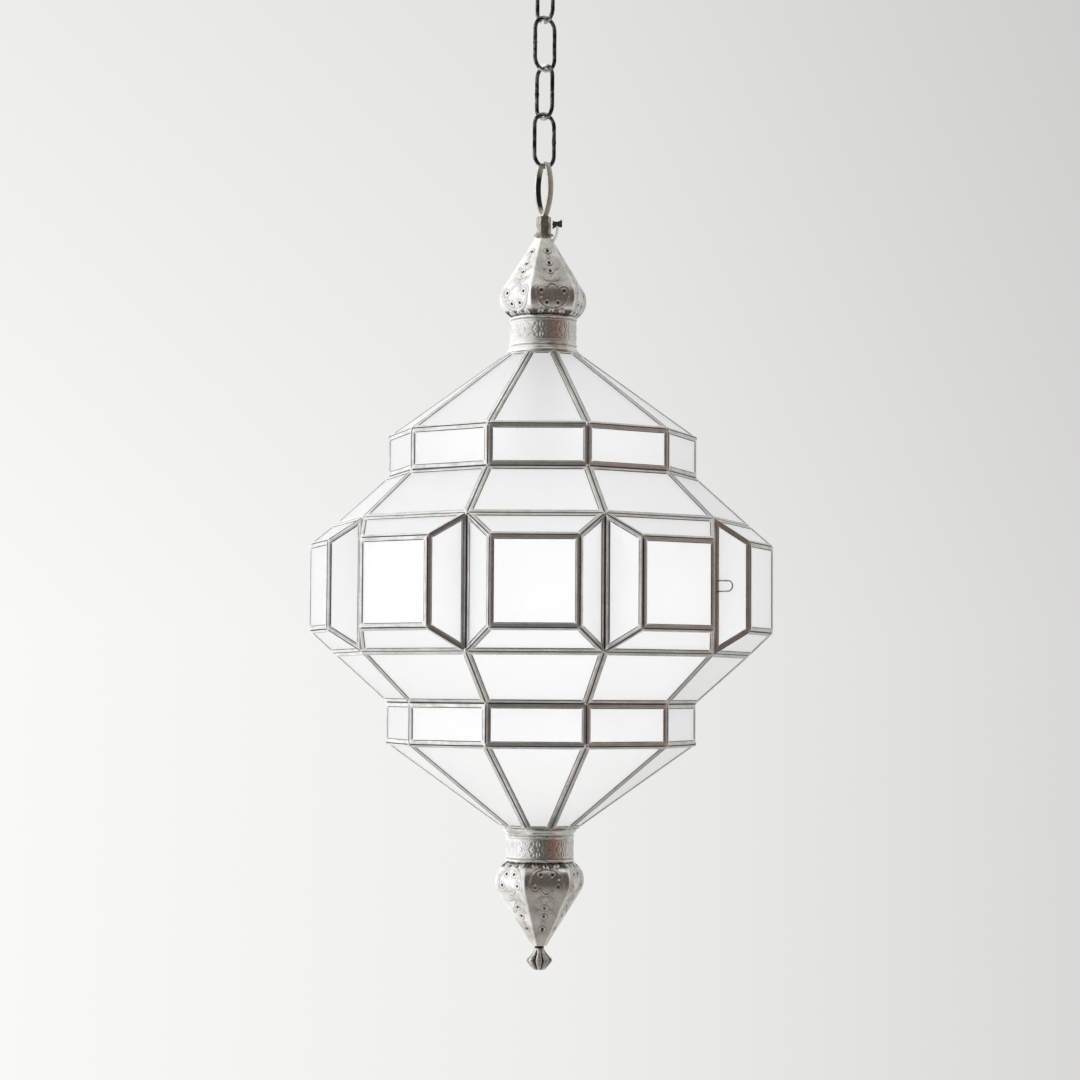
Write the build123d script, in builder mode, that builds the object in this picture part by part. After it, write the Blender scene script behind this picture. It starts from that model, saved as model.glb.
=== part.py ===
from build123d import *
import os
from math import acos, asin, cos, degrees, pi, radians, sin, sqrt, tan

# A hanging lantern of frosted panes: a ten-sided body of two cones, two rims, two shoulders and a middle
# band of ten projecting bays, each pane edged with its own folded tin came. Pierced six-sided domes on round
# collars close its two ends, and it hangs by an eye ring and a chain from a hook plate on the ceiling.
# Millimetres, +Z up. The origin is the centre of the hook plate's upper face, where it meets the ceiling.
# The front bay faces -Y. A direction round the lantern is counted from -Y towards +X.

# Hook plate and hook
PLATE_RADIUS = 32.0
PLATE_THICKNESS = 3.0
PLATE_EDGE = 1.0
PLATE_SCREWS = 3
SCREW_CIRCLE_RADIUS = 22.0
SCREW_HOLE_RADIUS = 2.25
SCREW_HEAD_RADIUS = 4.25
SHANK_RADIUS = 2.6
HOOK_FLANGE_RADIUS = 6.0
HOOK_FLANGE_THICKNESS = 2.0
HOOK_WIRE_RADIUS = 2.0
HOOK_NECK_LENGTH = 8.0
HOOK_BEND_RADIUS = 9.0
HOOK_WRAP = 290

# Chain
LINK_COUNT = 4
LINK_LENGTH = 44.0
LINK_WIDTH = 22.0
LINK_WIRE_RADIUS = 1.55
CHAIN_TURN = 40
WIRE_SIDES = 8

# Eye ring, hexagonal ferrule and crown washer
RING_HEIGHT = 42.9
RING_CROWN_RADIUS = 5.5
RING_CROWN_ARC = 65.5
STRAP_WIDTH = 5.0
STRAP_THICKNESS = 2.0
TANG_LENGTH = 6.0
FERRULE_ACROSS_FLATS = 10.0
FERRULE_HEIGHT = 13.5
WASHER_RADIUS = 7.5
WASHER_THICKNESS = 1.4

# Stem, bridge bar and nut
STEM_RADIUS = 3.0
STEM_ENGAGEMENT = 5.0
BRIDGE_WIDTH = 11.0
BRIDGE_THICKNESS = 2.0
NUT_ACROSS_FLATS = 10.0
NUT_HEIGHT = 5.0

# Pierced six-sided dome, the same stamping above and below
DOME_SIDES = 6
DOME_HEIGHT = 63.2
DOME_SKIN = 0.8
DOME_ARC_RADIUS = 16.5
DOME_ARC_REACH = 13.2
DOME_ARC_HEIGHT = 14.1
DOME_TAPER = 28.9
DOME_TURN = -14.5
FINIAL_TURN = -18.0
PIERCING_RADIUS = 1.1
PIERCING_SIDES = 6
UPPER_PIERCING_HEIGHTS = [33.4, 40.1, 49.9]
BULGE_PIERCINGS = [(8.8, 17.2), (4.3, 8.7)]

# Round collars
COLLAR_RADIUS = 25.2
COLLAR_WALL = 1.0
COLLAR_FOOT_RADIUS = 27.8
COLLAR_FOOT_HEIGHT = 5.0
COLLAR_BEAD = 0.8
COLLAR_BEAD_HEIGHT = 2.4
COLLAR_FLANGE_WIDTH = 5.2
UPPER_COLLAR_HEIGHT = 27.4
LOWER_COLLAR_HEIGHT = 25.0

# Glass body: corner radii and the heights of its courses, counted from the middle of the band
SIDES = 10
NECK_RADIUS = 28.8
RIM_RADIUS = 117.2
BAND_RADIUS = 158.0
BAND_HALF_HEIGHT = 49.0
SHOULDER_HEIGHT = 36.6
RIM_HEIGHT = 30.8
CONE_HEIGHT = 63.4
BAY_DEPTH = 22.5
BAY_FRONT_WIDTH = 63.8
BAY_FRONT_HEIGHT = 65.2

# Came strips and panes
CAME_DEPTH = 3.0
CAME_FACE = 3.1
CAME_LIP = 0.5
CAME_WALL = 0.5
SEAM = 0.5
PANE_PLAY = 0.1
DOOR_GAP = 0.4

# Door hinge and pull
DOOR_BAY = 2
HINGE_OFFSET = 2.2
KNUCKLE_RADIUS = 1.45
KNUCKLE_LENGTH = 12.0
KNUCKLE_REACH = 40.0
LEAF_WIDTH = 2.4
LEAF_THICKNESS = 0.5
PIN_RADIUS = 0.6
PIN_HEAD_RADIUS = 1.3
PIN_HEAD_HEIGHT = 1.0
PULL_WIRE_RADIUS = 0.5
PULL_GAUGE = 7.6
PULL_REACH = 14.0
PULL_SETBACK = 1.8

# Lampholder and bulb
HOLDER_RADIUS = 14.0
HOLDER_CAP_HEIGHT = 12.0
HOLDER_CAP_SHOULDER = 9.0
HOLDER_BARREL_HEIGHT = 42.0
HOLDER_STEP = 1.5
SOCKET_DEPTH = 28.0
SOCKET_WALL_CLEARANCE = 0.4
BULB_CAP_RADIUS = 7.0
BULB_CAP_HEIGHT = 27.0
BULB_CONTACT_RADIUS = 3.0
BULB_CONTACT_HEIGHT = 1.5
BULB_RADIUS = 22.5
BULB_NECK_LENGTH = 26.0
BULB_WALL = 0.8
GLOBE_BANDS = 10
THROAT_BANDS = 3

# Finial knob
KNOB_FLUTES = 8
KNOB_NECK_RADIUS = 3.6
KNOB_NECK_HEIGHT = 2.0
KNOB_RADIUS = 10.0
KNOB_END_RADIUS = 4.4
KNOB_UPPER_HEIGHT = 8.6
KNOB_LOWER_HEIGHT = 7.4
KNOB_FLUTE_DEPTH = 0.22
KNOB_STUD_RADIUS = 2.0
KNOB_STUD_LENGTH = 9.0
KNOB_NUT_ACROSS_FLATS = 7.0
KNOB_NUT_HEIGHT = 3.2

# Tail of the supply lead and its tied end
LEAD_RADIUS = 1.0
LEAD_HOLE_CLEARANCE = 0.3
LEAD_DIRECTION = 78
TIE_WIDTH = 7.6
TIE_HEIGHT = 6.0
TIE_THICKNESS = 3.0
TIE_WAIST = 3.6

# Clearances
CHAIN_PLAY = 0.4
BRIDGE_PLAY = 0.3
THREAD_PLAY = 0.05
PIN_PLAY = 0.05
KNUCKLE_PLAY = 0.3
BULB_PLAY = 0.3
SAME_POINT = 0.001


def around(radius, direction, height):
    """A point at a radius and a height, in a direction in degrees from the front."""
    turn = radians(direction)
    return Vector(radius * sin(turn), -radius * cos(turn), height)


def wire_section(radius):
    """The section of a rigid wire, its flats towards the two axes of its plane."""
    RegularPolygon(radius, WIRE_SIDES, major_radius=False, rotation=180 / WIRE_SIDES)


def upright(direction, height):
    """A vertical plane through the axis: its X points outwards in a direction, its Y up."""
    outwards = around(1, direction, 0)
    return Plane(origin=(0, 0, height), x_dir=outwards, z_dir=outwards.cross(Vector(0, 0, 1)))


def save(piece, name):
    """Labels a finished piece and writes it."""
    piece.label = name
    export_step(piece, f"parts/{name}.step")


os.makedirs("parts", exist_ok=True)

# Heights down the chain. Each piece hangs on the bend of the one above, the chain play below its wire.
hook_centre_height = -(PLATE_THICKNESS + HOOK_FLANGE_THICKNESS + HOOK_NECK_LENGTH + HOOK_BEND_RADIUS)
hook_seat_height = hook_centre_height - HOOK_BEND_RADIUS
link_bend_radius = LINK_WIDTH / 2 - LINK_WIRE_RADIUS
link_straight = LINK_LENGTH - LINK_WIDTH
link_span = LINK_LENGTH - 2 * LINK_WIRE_RADIUS


def link_centres():
    """The height of the middle of each link, from the lantern up."""
    heights = []
    seat = hook_seat_height
    seat_wire = HOOK_WIRE_RADIUS
    for _ in range(LINK_COUNT):
        top_wire = seat + seat_wire + CHAIN_PLAY + LINK_WIRE_RADIUS
        heights.append(top_wire - link_span / 2)
        seat = top_wire - link_span
        seat_wire = LINK_WIRE_RADIUS
    return heights[::-1]


link_heights = link_centres()
ring_seat_height = link_heights[0] - link_span / 2
wire_rise = link_bend_radius - sqrt(link_bend_radius**2 - (STRAP_WIDTH / 2) ** 2)
ring_top = ring_seat_height + LINK_WIRE_RADIUS + wire_rise + CHAIN_PLAY + STRAP_THICKNESS
ferrule_top = ring_top - RING_HEIGHT
washer_top = ferrule_top - FERRULE_HEIGHT
dome_crown = washer_top - WASHER_THICKNESS
dome_base = dome_crown - DOME_HEIGHT
upper_neck = dome_base - UPPER_COLLAR_HEIGHT
band_centre = upper_neck - (CONE_HEIGHT + RIM_HEIGHT + SHOULDER_HEIGHT + BAND_HALF_HEIGHT)
lower_neck = 2 * band_centre - upper_neck
finial_base = lower_neck - LOWER_COLLAR_HEIGHT
finial_tip = finial_base - DOME_HEIGHT
collar_bore = COLLAR_RADIUS - COLLAR_WALL

# Ceiling hook plate: a turned disc with countersunk screw holes
with BuildPart() as hook_plate:
    with BuildSketch(Plane.XY.offset(-PLATE_THICKNESS)):
        Circle(PLATE_RADIUS)
    extrude(amount=PLATE_THICKNESS)
    chamfer(hook_plate.edges().group_by(Axis.Z)[0], PLATE_EDGE)
    with Locations(Plane(origin=(0, 0, -PLATE_THICKNESS), z_dir=(0, 0, -1))):
        Hole(SHANK_RADIUS + THREAD_PLAY)
        with PolarLocations(SCREW_CIRCLE_RADIUS, PLATE_SCREWS):
            CounterSinkHole(SCREW_HOLE_RADIUS, SCREW_HEAD_RADIUS)
save(hook_plate.part, "hook_plate")

# Hook: a shank and flange, and a bend that returns past the shank and leaves a way in for the chain
hook_plane = upright(CHAIN_TURN + 90, hook_centre_height)
with BuildPart() as ceiling_hook:
    with BuildSketch(Plane.XY.offset(hook_centre_height + HOOK_BEND_RADIUS)):
        Circle(HOOK_WIRE_RADIUS)
    extrude(amount=HOOK_NECK_LENGTH)
    with BuildSketch(Plane.XY.offset(-PLATE_THICKNESS - HOOK_FLANGE_THICKNESS)):
        Circle(HOOK_FLANGE_RADIUS)
    extrude(amount=HOOK_FLANGE_THICKNESS)
    with BuildSketch(Plane.XY.offset(-PLATE_THICKNESS)):
        Circle(SHANK_RADIUS)
    extrude(amount=PLATE_THICKNESS)
    bend_start = Plane(origin=(0, 0, hook_centre_height), x_dir=(0, 0, 1), z_dir=-hook_plane.x_dir)
    with BuildSketch(bend_start):
        with Locations((HOOK_BEND_RADIUS, 0)):
            wire_section(HOOK_WIRE_RADIUS)
    revolve(axis=Axis(hook_plane.origin, hook_plane.z_dir), revolution_arc=HOOK_WRAP)
save(ceiling_hook.part, "ceiling_hook")


def chain_link(height, direction):
    """One welded link of round wire: two straight limbs joined by two half-round bends."""
    middle = Plane(origin=(0, 0, height), x_dir=around(1, direction, 0), z_dir=(0, 0, 1))
    upper_bend = middle.offset(link_straight / 2)
    lower_bend = middle.offset(-link_straight / 2)
    with BuildPart() as link:
        with BuildSketch(lower_bend):
            with GridLocations(2 * link_bend_radius, 1, 2, 1):
                wire_section(LINK_WIRE_RADIUS)
        extrude(amount=link_straight)
        with BuildSketch(upper_bend):
            with Locations((link_bend_radius, 0)):
                wire_section(LINK_WIRE_RADIUS)
        revolve(axis=Axis(upper_bend.origin, -upper_bend.y_dir), revolution_arc=180)
        with BuildSketch(lower_bend):
            with Locations((link_bend_radius, 0)):
                wire_section(LINK_WIRE_RADIUS)
        revolve(axis=Axis(lower_bend.origin, lower_bend.y_dir), revolution_arc=180)
    return link.part


# Link 1 carries the lantern. Neighbouring links stand square to each other.
for place, link_height in enumerate(link_heights):
    link_direction = CHAIN_TURN + 90 * (place + 1)
    save(chain_link(link_height, link_direction), f"chain_link_{place + 1}")

# Eye ring: a flat strap bent to a drop shape, its two ends pressed together into a tang
ring_plane = upright(CHAIN_TURN, ferrule_top)
with BuildPart() as hanging_ring:
    with BuildSketch(ring_plane):
        with BuildLine():
            crown_start = 90 - RING_CROWN_ARC
            crown_centre = (0, RING_HEIGHT - RING_CROWN_RADIUS)
            crown = CenterArc(crown_centre, RING_CROWN_RADIUS, crown_start, 2 * RING_CROWN_ARC)
            limb = TangentArc(crown @ 0, (STRAP_THICKNESS, 0), tangent=crown % 0 * -1)
            mirror(limb, about=Plane.YZ)
            Line((-STRAP_THICKNESS, 0), (STRAP_THICKNESS, 0))
        make_face()
        offset(amount=-STRAP_THICKNESS, kind=Kind.INTERSECTION, mode=Mode.SUBTRACT)
        with Locations((0, -TANG_LENGTH / 2)):
            Rectangle(2 * STRAP_THICKNESS, TANG_LENGTH)
    extrude(amount=STRAP_WIDTH / 2, both=True)
save(hanging_ring.part, "hanging_ring")

# Hexagonal ferrule: slotted above for the tang, threaded below for the stem
ferrule_plane = Plane(origin=(0, 0, washer_top), x_dir=ring_plane.x_dir, z_dir=(0, 0, 1))
with BuildPart() as ring_ferrule:
    with BuildSketch(ferrule_plane):
        RegularPolygon(FERRULE_ACROSS_FLATS / 2, 6, major_radius=False)
    extrude(amount=FERRULE_HEIGHT)
    with BuildSketch(ferrule_plane.offset(FERRULE_HEIGHT)):
        Rectangle(2 * (STRAP_THICKNESS + THREAD_PLAY), STRAP_WIDTH + 2 * THREAD_PLAY)
    extrude(amount=-(TANG_LENGTH + THREAD_PLAY), mode=Mode.SUBTRACT)
    with BuildSketch(ferrule_plane):
        Circle(STEM_RADIUS + THREAD_PLAY)
    extrude(amount=STEM_ENGAGEMENT + THREAD_PLAY, mode=Mode.SUBTRACT)
save(ring_ferrule.part, "ring_ferrule")

with BuildPart() as crown_washer:
    with BuildSketch(Plane.XY.offset(dome_crown)):
        Circle(WASHER_RADIUS)
        Circle(STEM_RADIUS + THREAD_PLAY, mode=Mode.SUBTRACT)
    extrude(amount=WASHER_THICKNESS)
save(crown_washer.part, "crown_washer")


def collar(base, height):
    """A rolled collar: a flared foot on the cone, beads round both ends and a flange turned in at the dome."""
    section = Plane(origin=base.origin, x_dir=base.x_dir, z_dir=base.x_dir.cross(base.z_dir))
    foot_top = COLLAR_FOOT_HEIGHT
    with BuildPart() as shell:
        with BuildSketch(section):
            with BuildLine():
                Polyline(
                    (collar_bore, 0),
                    (COLLAR_FOOT_RADIUS, 0),
                    (COLLAR_FOOT_RADIUS, COLLAR_WALL),
                    (COLLAR_RADIUS, foot_top),
                    (COLLAR_RADIUS + COLLAR_BEAD, foot_top + COLLAR_BEAD_HEIGHT / 2),
                    (COLLAR_RADIUS, foot_top + COLLAR_BEAD_HEIGHT),
                    (COLLAR_RADIUS, height - COLLAR_BEAD_HEIGHT),
                    (COLLAR_RADIUS + COLLAR_BEAD, height - COLLAR_BEAD_HEIGHT / 2),
                    (COLLAR_RADIUS, height),
                    (COLLAR_RADIUS - COLLAR_FLANGE_WIDTH, height),
                    (COLLAR_RADIUS - COLLAR_FLANGE_WIDTH, height - COLLAR_WALL),
                    (collar_bore, height - COLLAR_WALL),
                    close=True,
                )
            make_face()
        revolve(axis=Axis(base.origin, base.z_dir))
    return shell.part


def dome_block(base, skin):
    """A six-sided onion, a skin's depth inside the outer form: each pair of facets is one drawn-out profile."""
    arc_radius = DOME_ARC_RADIUS - skin
    foot_turn = -degrees(asin(DOME_ARC_HEIGHT / arc_radius))
    with BuildPart() as block:
        for facet_pair in range(DOME_SIDES // 2):
            mode = Mode.INTERSECT if facet_pair else Mode.ADD
            facing = base.x_dir.rotate(Axis((0, 0, 0), base.z_dir), 360 / DOME_SIDES * facet_pair)
            with BuildSketch(Plane(origin=base.origin, x_dir=facing, z_dir=facing.cross(base.z_dir))):
                with BuildLine():
                    bulge = CenterArc(
                        (DOME_ARC_REACH, DOME_ARC_HEIGHT), arc_radius, foot_turn, DOME_TAPER - foot_turn
                    )
                    crown_height = DOME_HEIGHT - skin
                    fall = crown_height - (bulge @ 1).Y
                    crown = ((bulge @ 1).X - fall * tan(radians(DOME_TAPER)), crown_height)
                    Polyline(bulge @ 1, crown, (0, crown_height), (0, 0), bulge @ 0)
                make_face()
                mirror(about=Plane.YZ)
            extrude(amount=2 * DOME_ARC_RADIUS + DOME_ARC_REACH, both=True, mode=mode)
    return block.part


def dome(base, holes):
    """A pierced dome shell with an open base, and the given holes through its crown and facets."""
    outer_form = dome_block(base, 0)
    inner_form = dome_block(base, DOME_SKIN)
    bulge_reach = DOME_ARC_REACH + DOME_ARC_RADIUS
    lean = radians(DOME_TAPER)
    facet_start = Vector(cos(lean), sin(lean)) * DOME_ARC_RADIUS + Vector(DOME_ARC_REACH, DOME_ARC_HEIGHT)
    with BuildPart() as shell:
        add(outer_form)
        add(inner_form, mode=Mode.SUBTRACT)
        for facet in range(DOME_SIDES):
            facing = base.x_dir.rotate(Axis((0, 0, 0), base.z_dir), 360 / DOME_SIDES * facet)
            across = base.z_dir.cross(facing)
            front = Plane(origin=base.origin + facing * bulge_reach, x_dir=across, z_dir=facing)
            with BuildSketch(front):
                for reach, height in BULGE_PIERCINGS:
                    with Locations((-reach, height), (reach, height)):
                        RegularPolygon(PIERCING_RADIUS, PIERCING_SIDES)
            extrude(amount=-DOME_ARC_RADIUS / 3, mode=Mode.SUBTRACT)
            slope_normal = facing * cos(lean) + base.z_dir * sin(lean)
            foot = base.origin + facing * facet_start.X + base.z_dir * facet_start.Y
            with BuildSketch(Plane(origin=foot, x_dir=across, z_dir=slope_normal)):
                for height in UPPER_PIERCING_HEIGHTS:
                    with Locations((0, (height - facet_start.Y) / cos(lean))):
                        RegularPolygon(PIERCING_RADIUS, PIERCING_SIDES)
            extrude(amount=-2 * DOME_SKIN, mode=Mode.SUBTRACT)
        for hole_plane, hole_radius, hole_depth in holes:
            with BuildSketch(hole_plane):
                Circle(hole_radius)
            extrude(amount=-hole_depth, mode=Mode.SUBTRACT)
    return shell.part


upper_collar_base = Plane(origin=(0, 0, upper_neck), x_dir=(1, 0, 0), z_dir=(0, 0, 1))
lower_collar_base = Plane(origin=(0, 0, lower_neck), x_dir=(1, 0, 0), z_dir=(0, 0, -1))
save(collar(upper_collar_base, UPPER_COLLAR_HEIGHT), "upper_collar")
save(collar(lower_collar_base, LOWER_COLLAR_HEIGHT), "lower_collar")

# The supply lead's route, as reach and height: from the lampholder up beside the stem, out through a hole in
# the dome's facet near the crown, clear of the washer, and up to its tied end
bridge_top = dome_base - COLLAR_WALL
bridge_bottom = bridge_top - BRIDGE_THICKNESS
nut_bottom = bridge_bottom - NUT_HEIGHT
holder_top = nut_bottom - THREAD_PLAY
lead_entry_reach = HOLDER_CAP_SHOULDER - 2 * LEAD_RADIUS
lead_route = [
    (lead_entry_reach, holder_top - 4.0),
    (lead_entry_reach, dome_base + 5.0),
    (lead_entry_reach, dome_crown - 26.0),
    (6.2, dome_crown - 12.0),
    (5.6, dome_crown - 7.6),
    (6.9, dome_crown - 4.2),
    (9.6, dome_crown - 0.6),
    (10.8, dome_crown + 4.0),
    (10.6, dome_crown + 9.0),
]
lead_points = [around(reach, LEAD_DIRECTION, height) for reach, height in lead_route]
lead_inside, lead_exit, lead_outside = lead_points[4:7]
lead_slope = (lead_outside - lead_inside).normalized()
lead_hole_depth = 6 * DOME_SKIN
lead_hole_plane = Plane(origin=lead_exit + lead_slope * lead_hole_depth / 2, z_dir=lead_slope)

facet_half_turn = 180 / DOME_SIDES
stem_hole_plane = Plane(origin=(0, 0, dome_crown), z_dir=(0, 0, 1))
top_holes = [
    (stem_hole_plane, STEM_RADIUS + THREAD_PLAY, 2 * DOME_SKIN),
    (lead_hole_plane, LEAD_RADIUS + LEAD_HOLE_CLEARANCE, lead_hole_depth),
]
top_dome_plane = Plane(
    origin=(0, 0, dome_base), x_dir=around(1, DOME_TURN + facet_half_turn, 0), z_dir=(0, 0, 1)
)
save(dome(top_dome_plane, top_holes), "top_dome")

finial_plane = Plane(
    origin=(0, 0, finial_base), x_dir=around(1, FINIAL_TURN + facet_half_turn, 0), z_dir=(0, 0, -1)
)
stud_hole_plane = Plane(origin=(0, 0, finial_tip), z_dir=(0, 0, -1))
finial_holes = [(stud_hole_plane, KNOB_STUD_RADIUS + THREAD_PLAY, 2 * DOME_SKIN)]
save(dome(finial_plane, finial_holes), "lower_finial")


# Bridge bar under the upper collar's flange, which takes the lantern's weight, and its nut
with BuildPart() as bridge_bar:
    with BuildSketch(Plane.XY.offset(bridge_bottom)):
        Circle(collar_bore - BRIDGE_PLAY)
        Rectangle(BRIDGE_WIDTH, 2 * COLLAR_RADIUS, mode=Mode.INTERSECT)
        Circle(STEM_RADIUS + THREAD_PLAY, mode=Mode.SUBTRACT)
    extrude(amount=BRIDGE_THICKNESS)
save(bridge_bar.part, "bridge_bar")

with BuildPart() as stem_nut:
    with BuildSketch(Plane.XY.offset(nut_bottom)):
        RegularPolygon(NUT_ACROSS_FLATS / 2, 6, major_radius=False)
        Circle(STEM_RADIUS + THREAD_PLAY, mode=Mode.SUBTRACT)
    extrude(amount=NUT_HEIGHT)
save(stem_nut.part, "stem_nut")

# Threaded stem from the ferrule down into the lampholder's cap
stem_bottom = holder_top - STEM_ENGAGEMENT
with BuildPart() as top_stem:
    with BuildSketch(Plane.XY.offset(stem_bottom)):
        Circle(STEM_RADIUS)
    extrude(amount=washer_top + STEM_ENGAGEMENT - stem_bottom)
save(top_stem.part, "top_stem")


def fluted_outline(radius):
    """A star of ridges and valleys for one level of the knob."""
    points = []
    for corner in range(2 * KNOB_FLUTES):
        reach = radius * (1 - KNOB_FLUTE_DEPTH * (corner % 2))
        turn = pi * corner / KNOB_FLUTES
        points.append((reach * cos(turn), reach * sin(turn)))
    return points


# Fluted knob: a short neck, ridges that swell to the middle and close at the end, and a threaded stud above
knob_top = finial_tip - KNOB_NECK_HEIGHT
with BuildPart() as finial_knob:
    with BuildSketch(Plane.XY.offset(knob_top)):
        Circle(KNOB_NECK_RADIUS)
    extrude(amount=KNOB_NECK_HEIGHT)
    with BuildSketch(Plane.XY.offset(finial_tip)):
        Circle(KNOB_STUD_RADIUS)
    extrude(amount=KNOB_STUD_LENGTH)
    with BuildSketch(Plane.XY.offset(knob_top)):
        Polygon(*fluted_outline(KNOB_NECK_RADIUS), align=None)
    with BuildSketch(Plane.XY.offset(knob_top - KNOB_UPPER_HEIGHT)):
        Polygon(*fluted_outline(KNOB_RADIUS), align=None)
    with BuildSketch(Plane.XY.offset(knob_top - KNOB_UPPER_HEIGHT - KNOB_LOWER_HEIGHT)):
        Polygon(*fluted_outline(KNOB_END_RADIUS), align=None)
    loft(ruled=True)
save(finial_knob.part, "finial_knob")

with BuildPart() as knob_nut:
    with BuildSketch(Plane.XY.offset(finial_tip + DOME_SKIN)):
        RegularPolygon(KNOB_NUT_ACROSS_FLATS / 2, 6, major_radius=False)
        Circle(KNOB_STUD_RADIUS + THREAD_PLAY, mode=Mode.SUBTRACT)
    extrude(amount=KNOB_NUT_HEIGHT)
save(knob_nut.part, "knob_nut")

# Corners of one tenth of the glass body, left and right of the front, from the middle of the band up
half_step = 180 / SIDES
shoulder_top = BAND_HALF_HEIGHT + SHOULDER_HEIGHT
rim_top = shoulder_top + RIM_HEIGHT
neck_height = rim_top + CONE_HEIGHT
bay_reach = BAND_RADIUS * cos(radians(half_step)) + BAY_DEPTH


def pair(radius, height):
    """The left and right corners of a course at a height above the middle of the band."""
    level = band_centre + height
    return around(radius, -half_step, level), around(radius, half_step, level)


def bay_front_pair(height):
    """The left and right corners of a bay's front pane."""
    half_width = BAY_FRONT_WIDTH / 2
    level = band_centre + height
    return Vector(-half_width, -bay_reach, level), Vector(half_width, -bay_reach, level)


def facing_panes():
    """Every pane of the front tenth by name, its corners counted anticlockwise as seen from outside."""
    front_half = BAY_FRONT_HEIGHT / 2
    neck, rim_high = pair(NECK_RADIUS, neck_height), pair(RIM_RADIUS, rim_top)
    rim_low, band_high = pair(RIM_RADIUS, shoulder_top), pair(BAND_RADIUS, BAND_HALF_HEIGHT)
    band_low, front_high = pair(BAND_RADIUS, -BAND_HALF_HEIGHT), bay_front_pair(front_half)
    front_low = bay_front_pair(-front_half)
    panes = {
        "upper_cone": [rim_high[0], rim_high[1], neck[1], neck[0]],
        "upper_rim": [rim_low[0], rim_low[1], rim_high[1], rim_high[0]],
        "upper_shoulder": [band_high[0], band_high[1], rim_low[1], rim_low[0]],
        "bay_top": [front_high[0], front_high[1], band_high[1], band_high[0]],
        "bay_front": [front_low[0], front_low[1], front_high[1], front_high[0]],
        "bay_left": [band_low[0], front_low[0], front_high[0], band_high[0]],
        "bay_right": [front_low[1], band_low[1], band_high[1], front_high[1]],
        "bay_bottom": [band_low[0], band_low[1], front_low[1], front_low[0]],
    }
    for course in ("cone", "rim", "shoulder"):
        above = panes[f"upper_{course}"]
        panes[f"lower_{course}"] = [Vector(p.X, p.Y, 2 * band_centre - p.Z) for p in reversed(above)]
    return panes


def edges_of(corners):
    """The sides of an outline as pairs of corners."""
    return list(zip(corners, corners[1:] + corners[:1]))


def outward_normal(corners):
    """The unit normal of a pane."""
    return (corners[1] - corners[0]).cross(corners[2] - corners[1]).normalized()


def turned(corners, steps):
    """A pane moved round the axis by whole tenths."""
    return [p.rotate(Axis.Z, 360 / SIDES * steps) for p in corners]


PANES = facing_panes()
BAY_PANES = [name for name in PANES if name.startswith("bay")]
NEIGHBOURHOOD = [turned(corners, steps) for corners in PANES.values() for steps in (-1, 0, 1)]


def pane_across(start, end):
    """The pane that shares an edge, or None at an open end."""
    for corners in NEIGHBOURHOOD:
        for other_start, other_end in edges_of(corners):
            if (other_start - end).length < SAME_POINT and (other_end - start).length < SAME_POINT:
                return corners
    return None


def inset(outline, distances):
    """A flat outline with each side moved inwards by its own distance."""
    sides = []
    for (start, end), distance in zip(edges_of(outline), distances):
        along = (end - start).normalized()
        sides.append((start + Vector(-along.Y, along.X) * distance, along))
    corners = []
    for (point, along), (previous, before) in zip(sides, [sides[-1]] + sides[:-1]):
        gap = point - previous
        shift = (gap.X * along.Y - gap.Y * along.X) / (before.X * along.Y - before.Y * along.X)
        corners.append(previous + before * shift)
    return corners


def inner_insets(corners, gap):
    """How far each side stands in on a pane's inner face, where it meets its neighbour on their mitre.

    An open side is cut level. A side shared with another bay or course gets the extra gap.
    """
    normal = outward_normal(corners)
    own_bay = [PANES[name] for name in BAY_PANES]
    insets = []
    for start, end in edges_of(corners):
        outwards = (end - start).normalized().cross(normal)
        neighbour = pane_across(start, end)
        if neighbour is None:
            insets.append(-CAME_DEPTH * normal.Z / outwards.Z)
            continue
        mitre = normal + outward_normal(neighbour)
        extra = 0 if neighbour in own_bay else gap
        insets.append(CAME_DEPTH * mitre.dot(outwards) / mitre.dot(normal) + extra)
    return insets


def leaning_wall(corners, side, near, far):
    """The plane of one side of a came, a distance inside the edge on the outer face and on the inner face."""
    start, end = edges_of(corners)[side]
    normal = outward_normal(corners)
    along = (end - start).normalized()
    outwards = along.cross(normal)
    lean = normal * CAME_DEPTH + outwards * (far - near)
    return Plane(origin=start - outwards * near, x_dir=along, z_dir=along.cross(lean).normalized())


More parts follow.
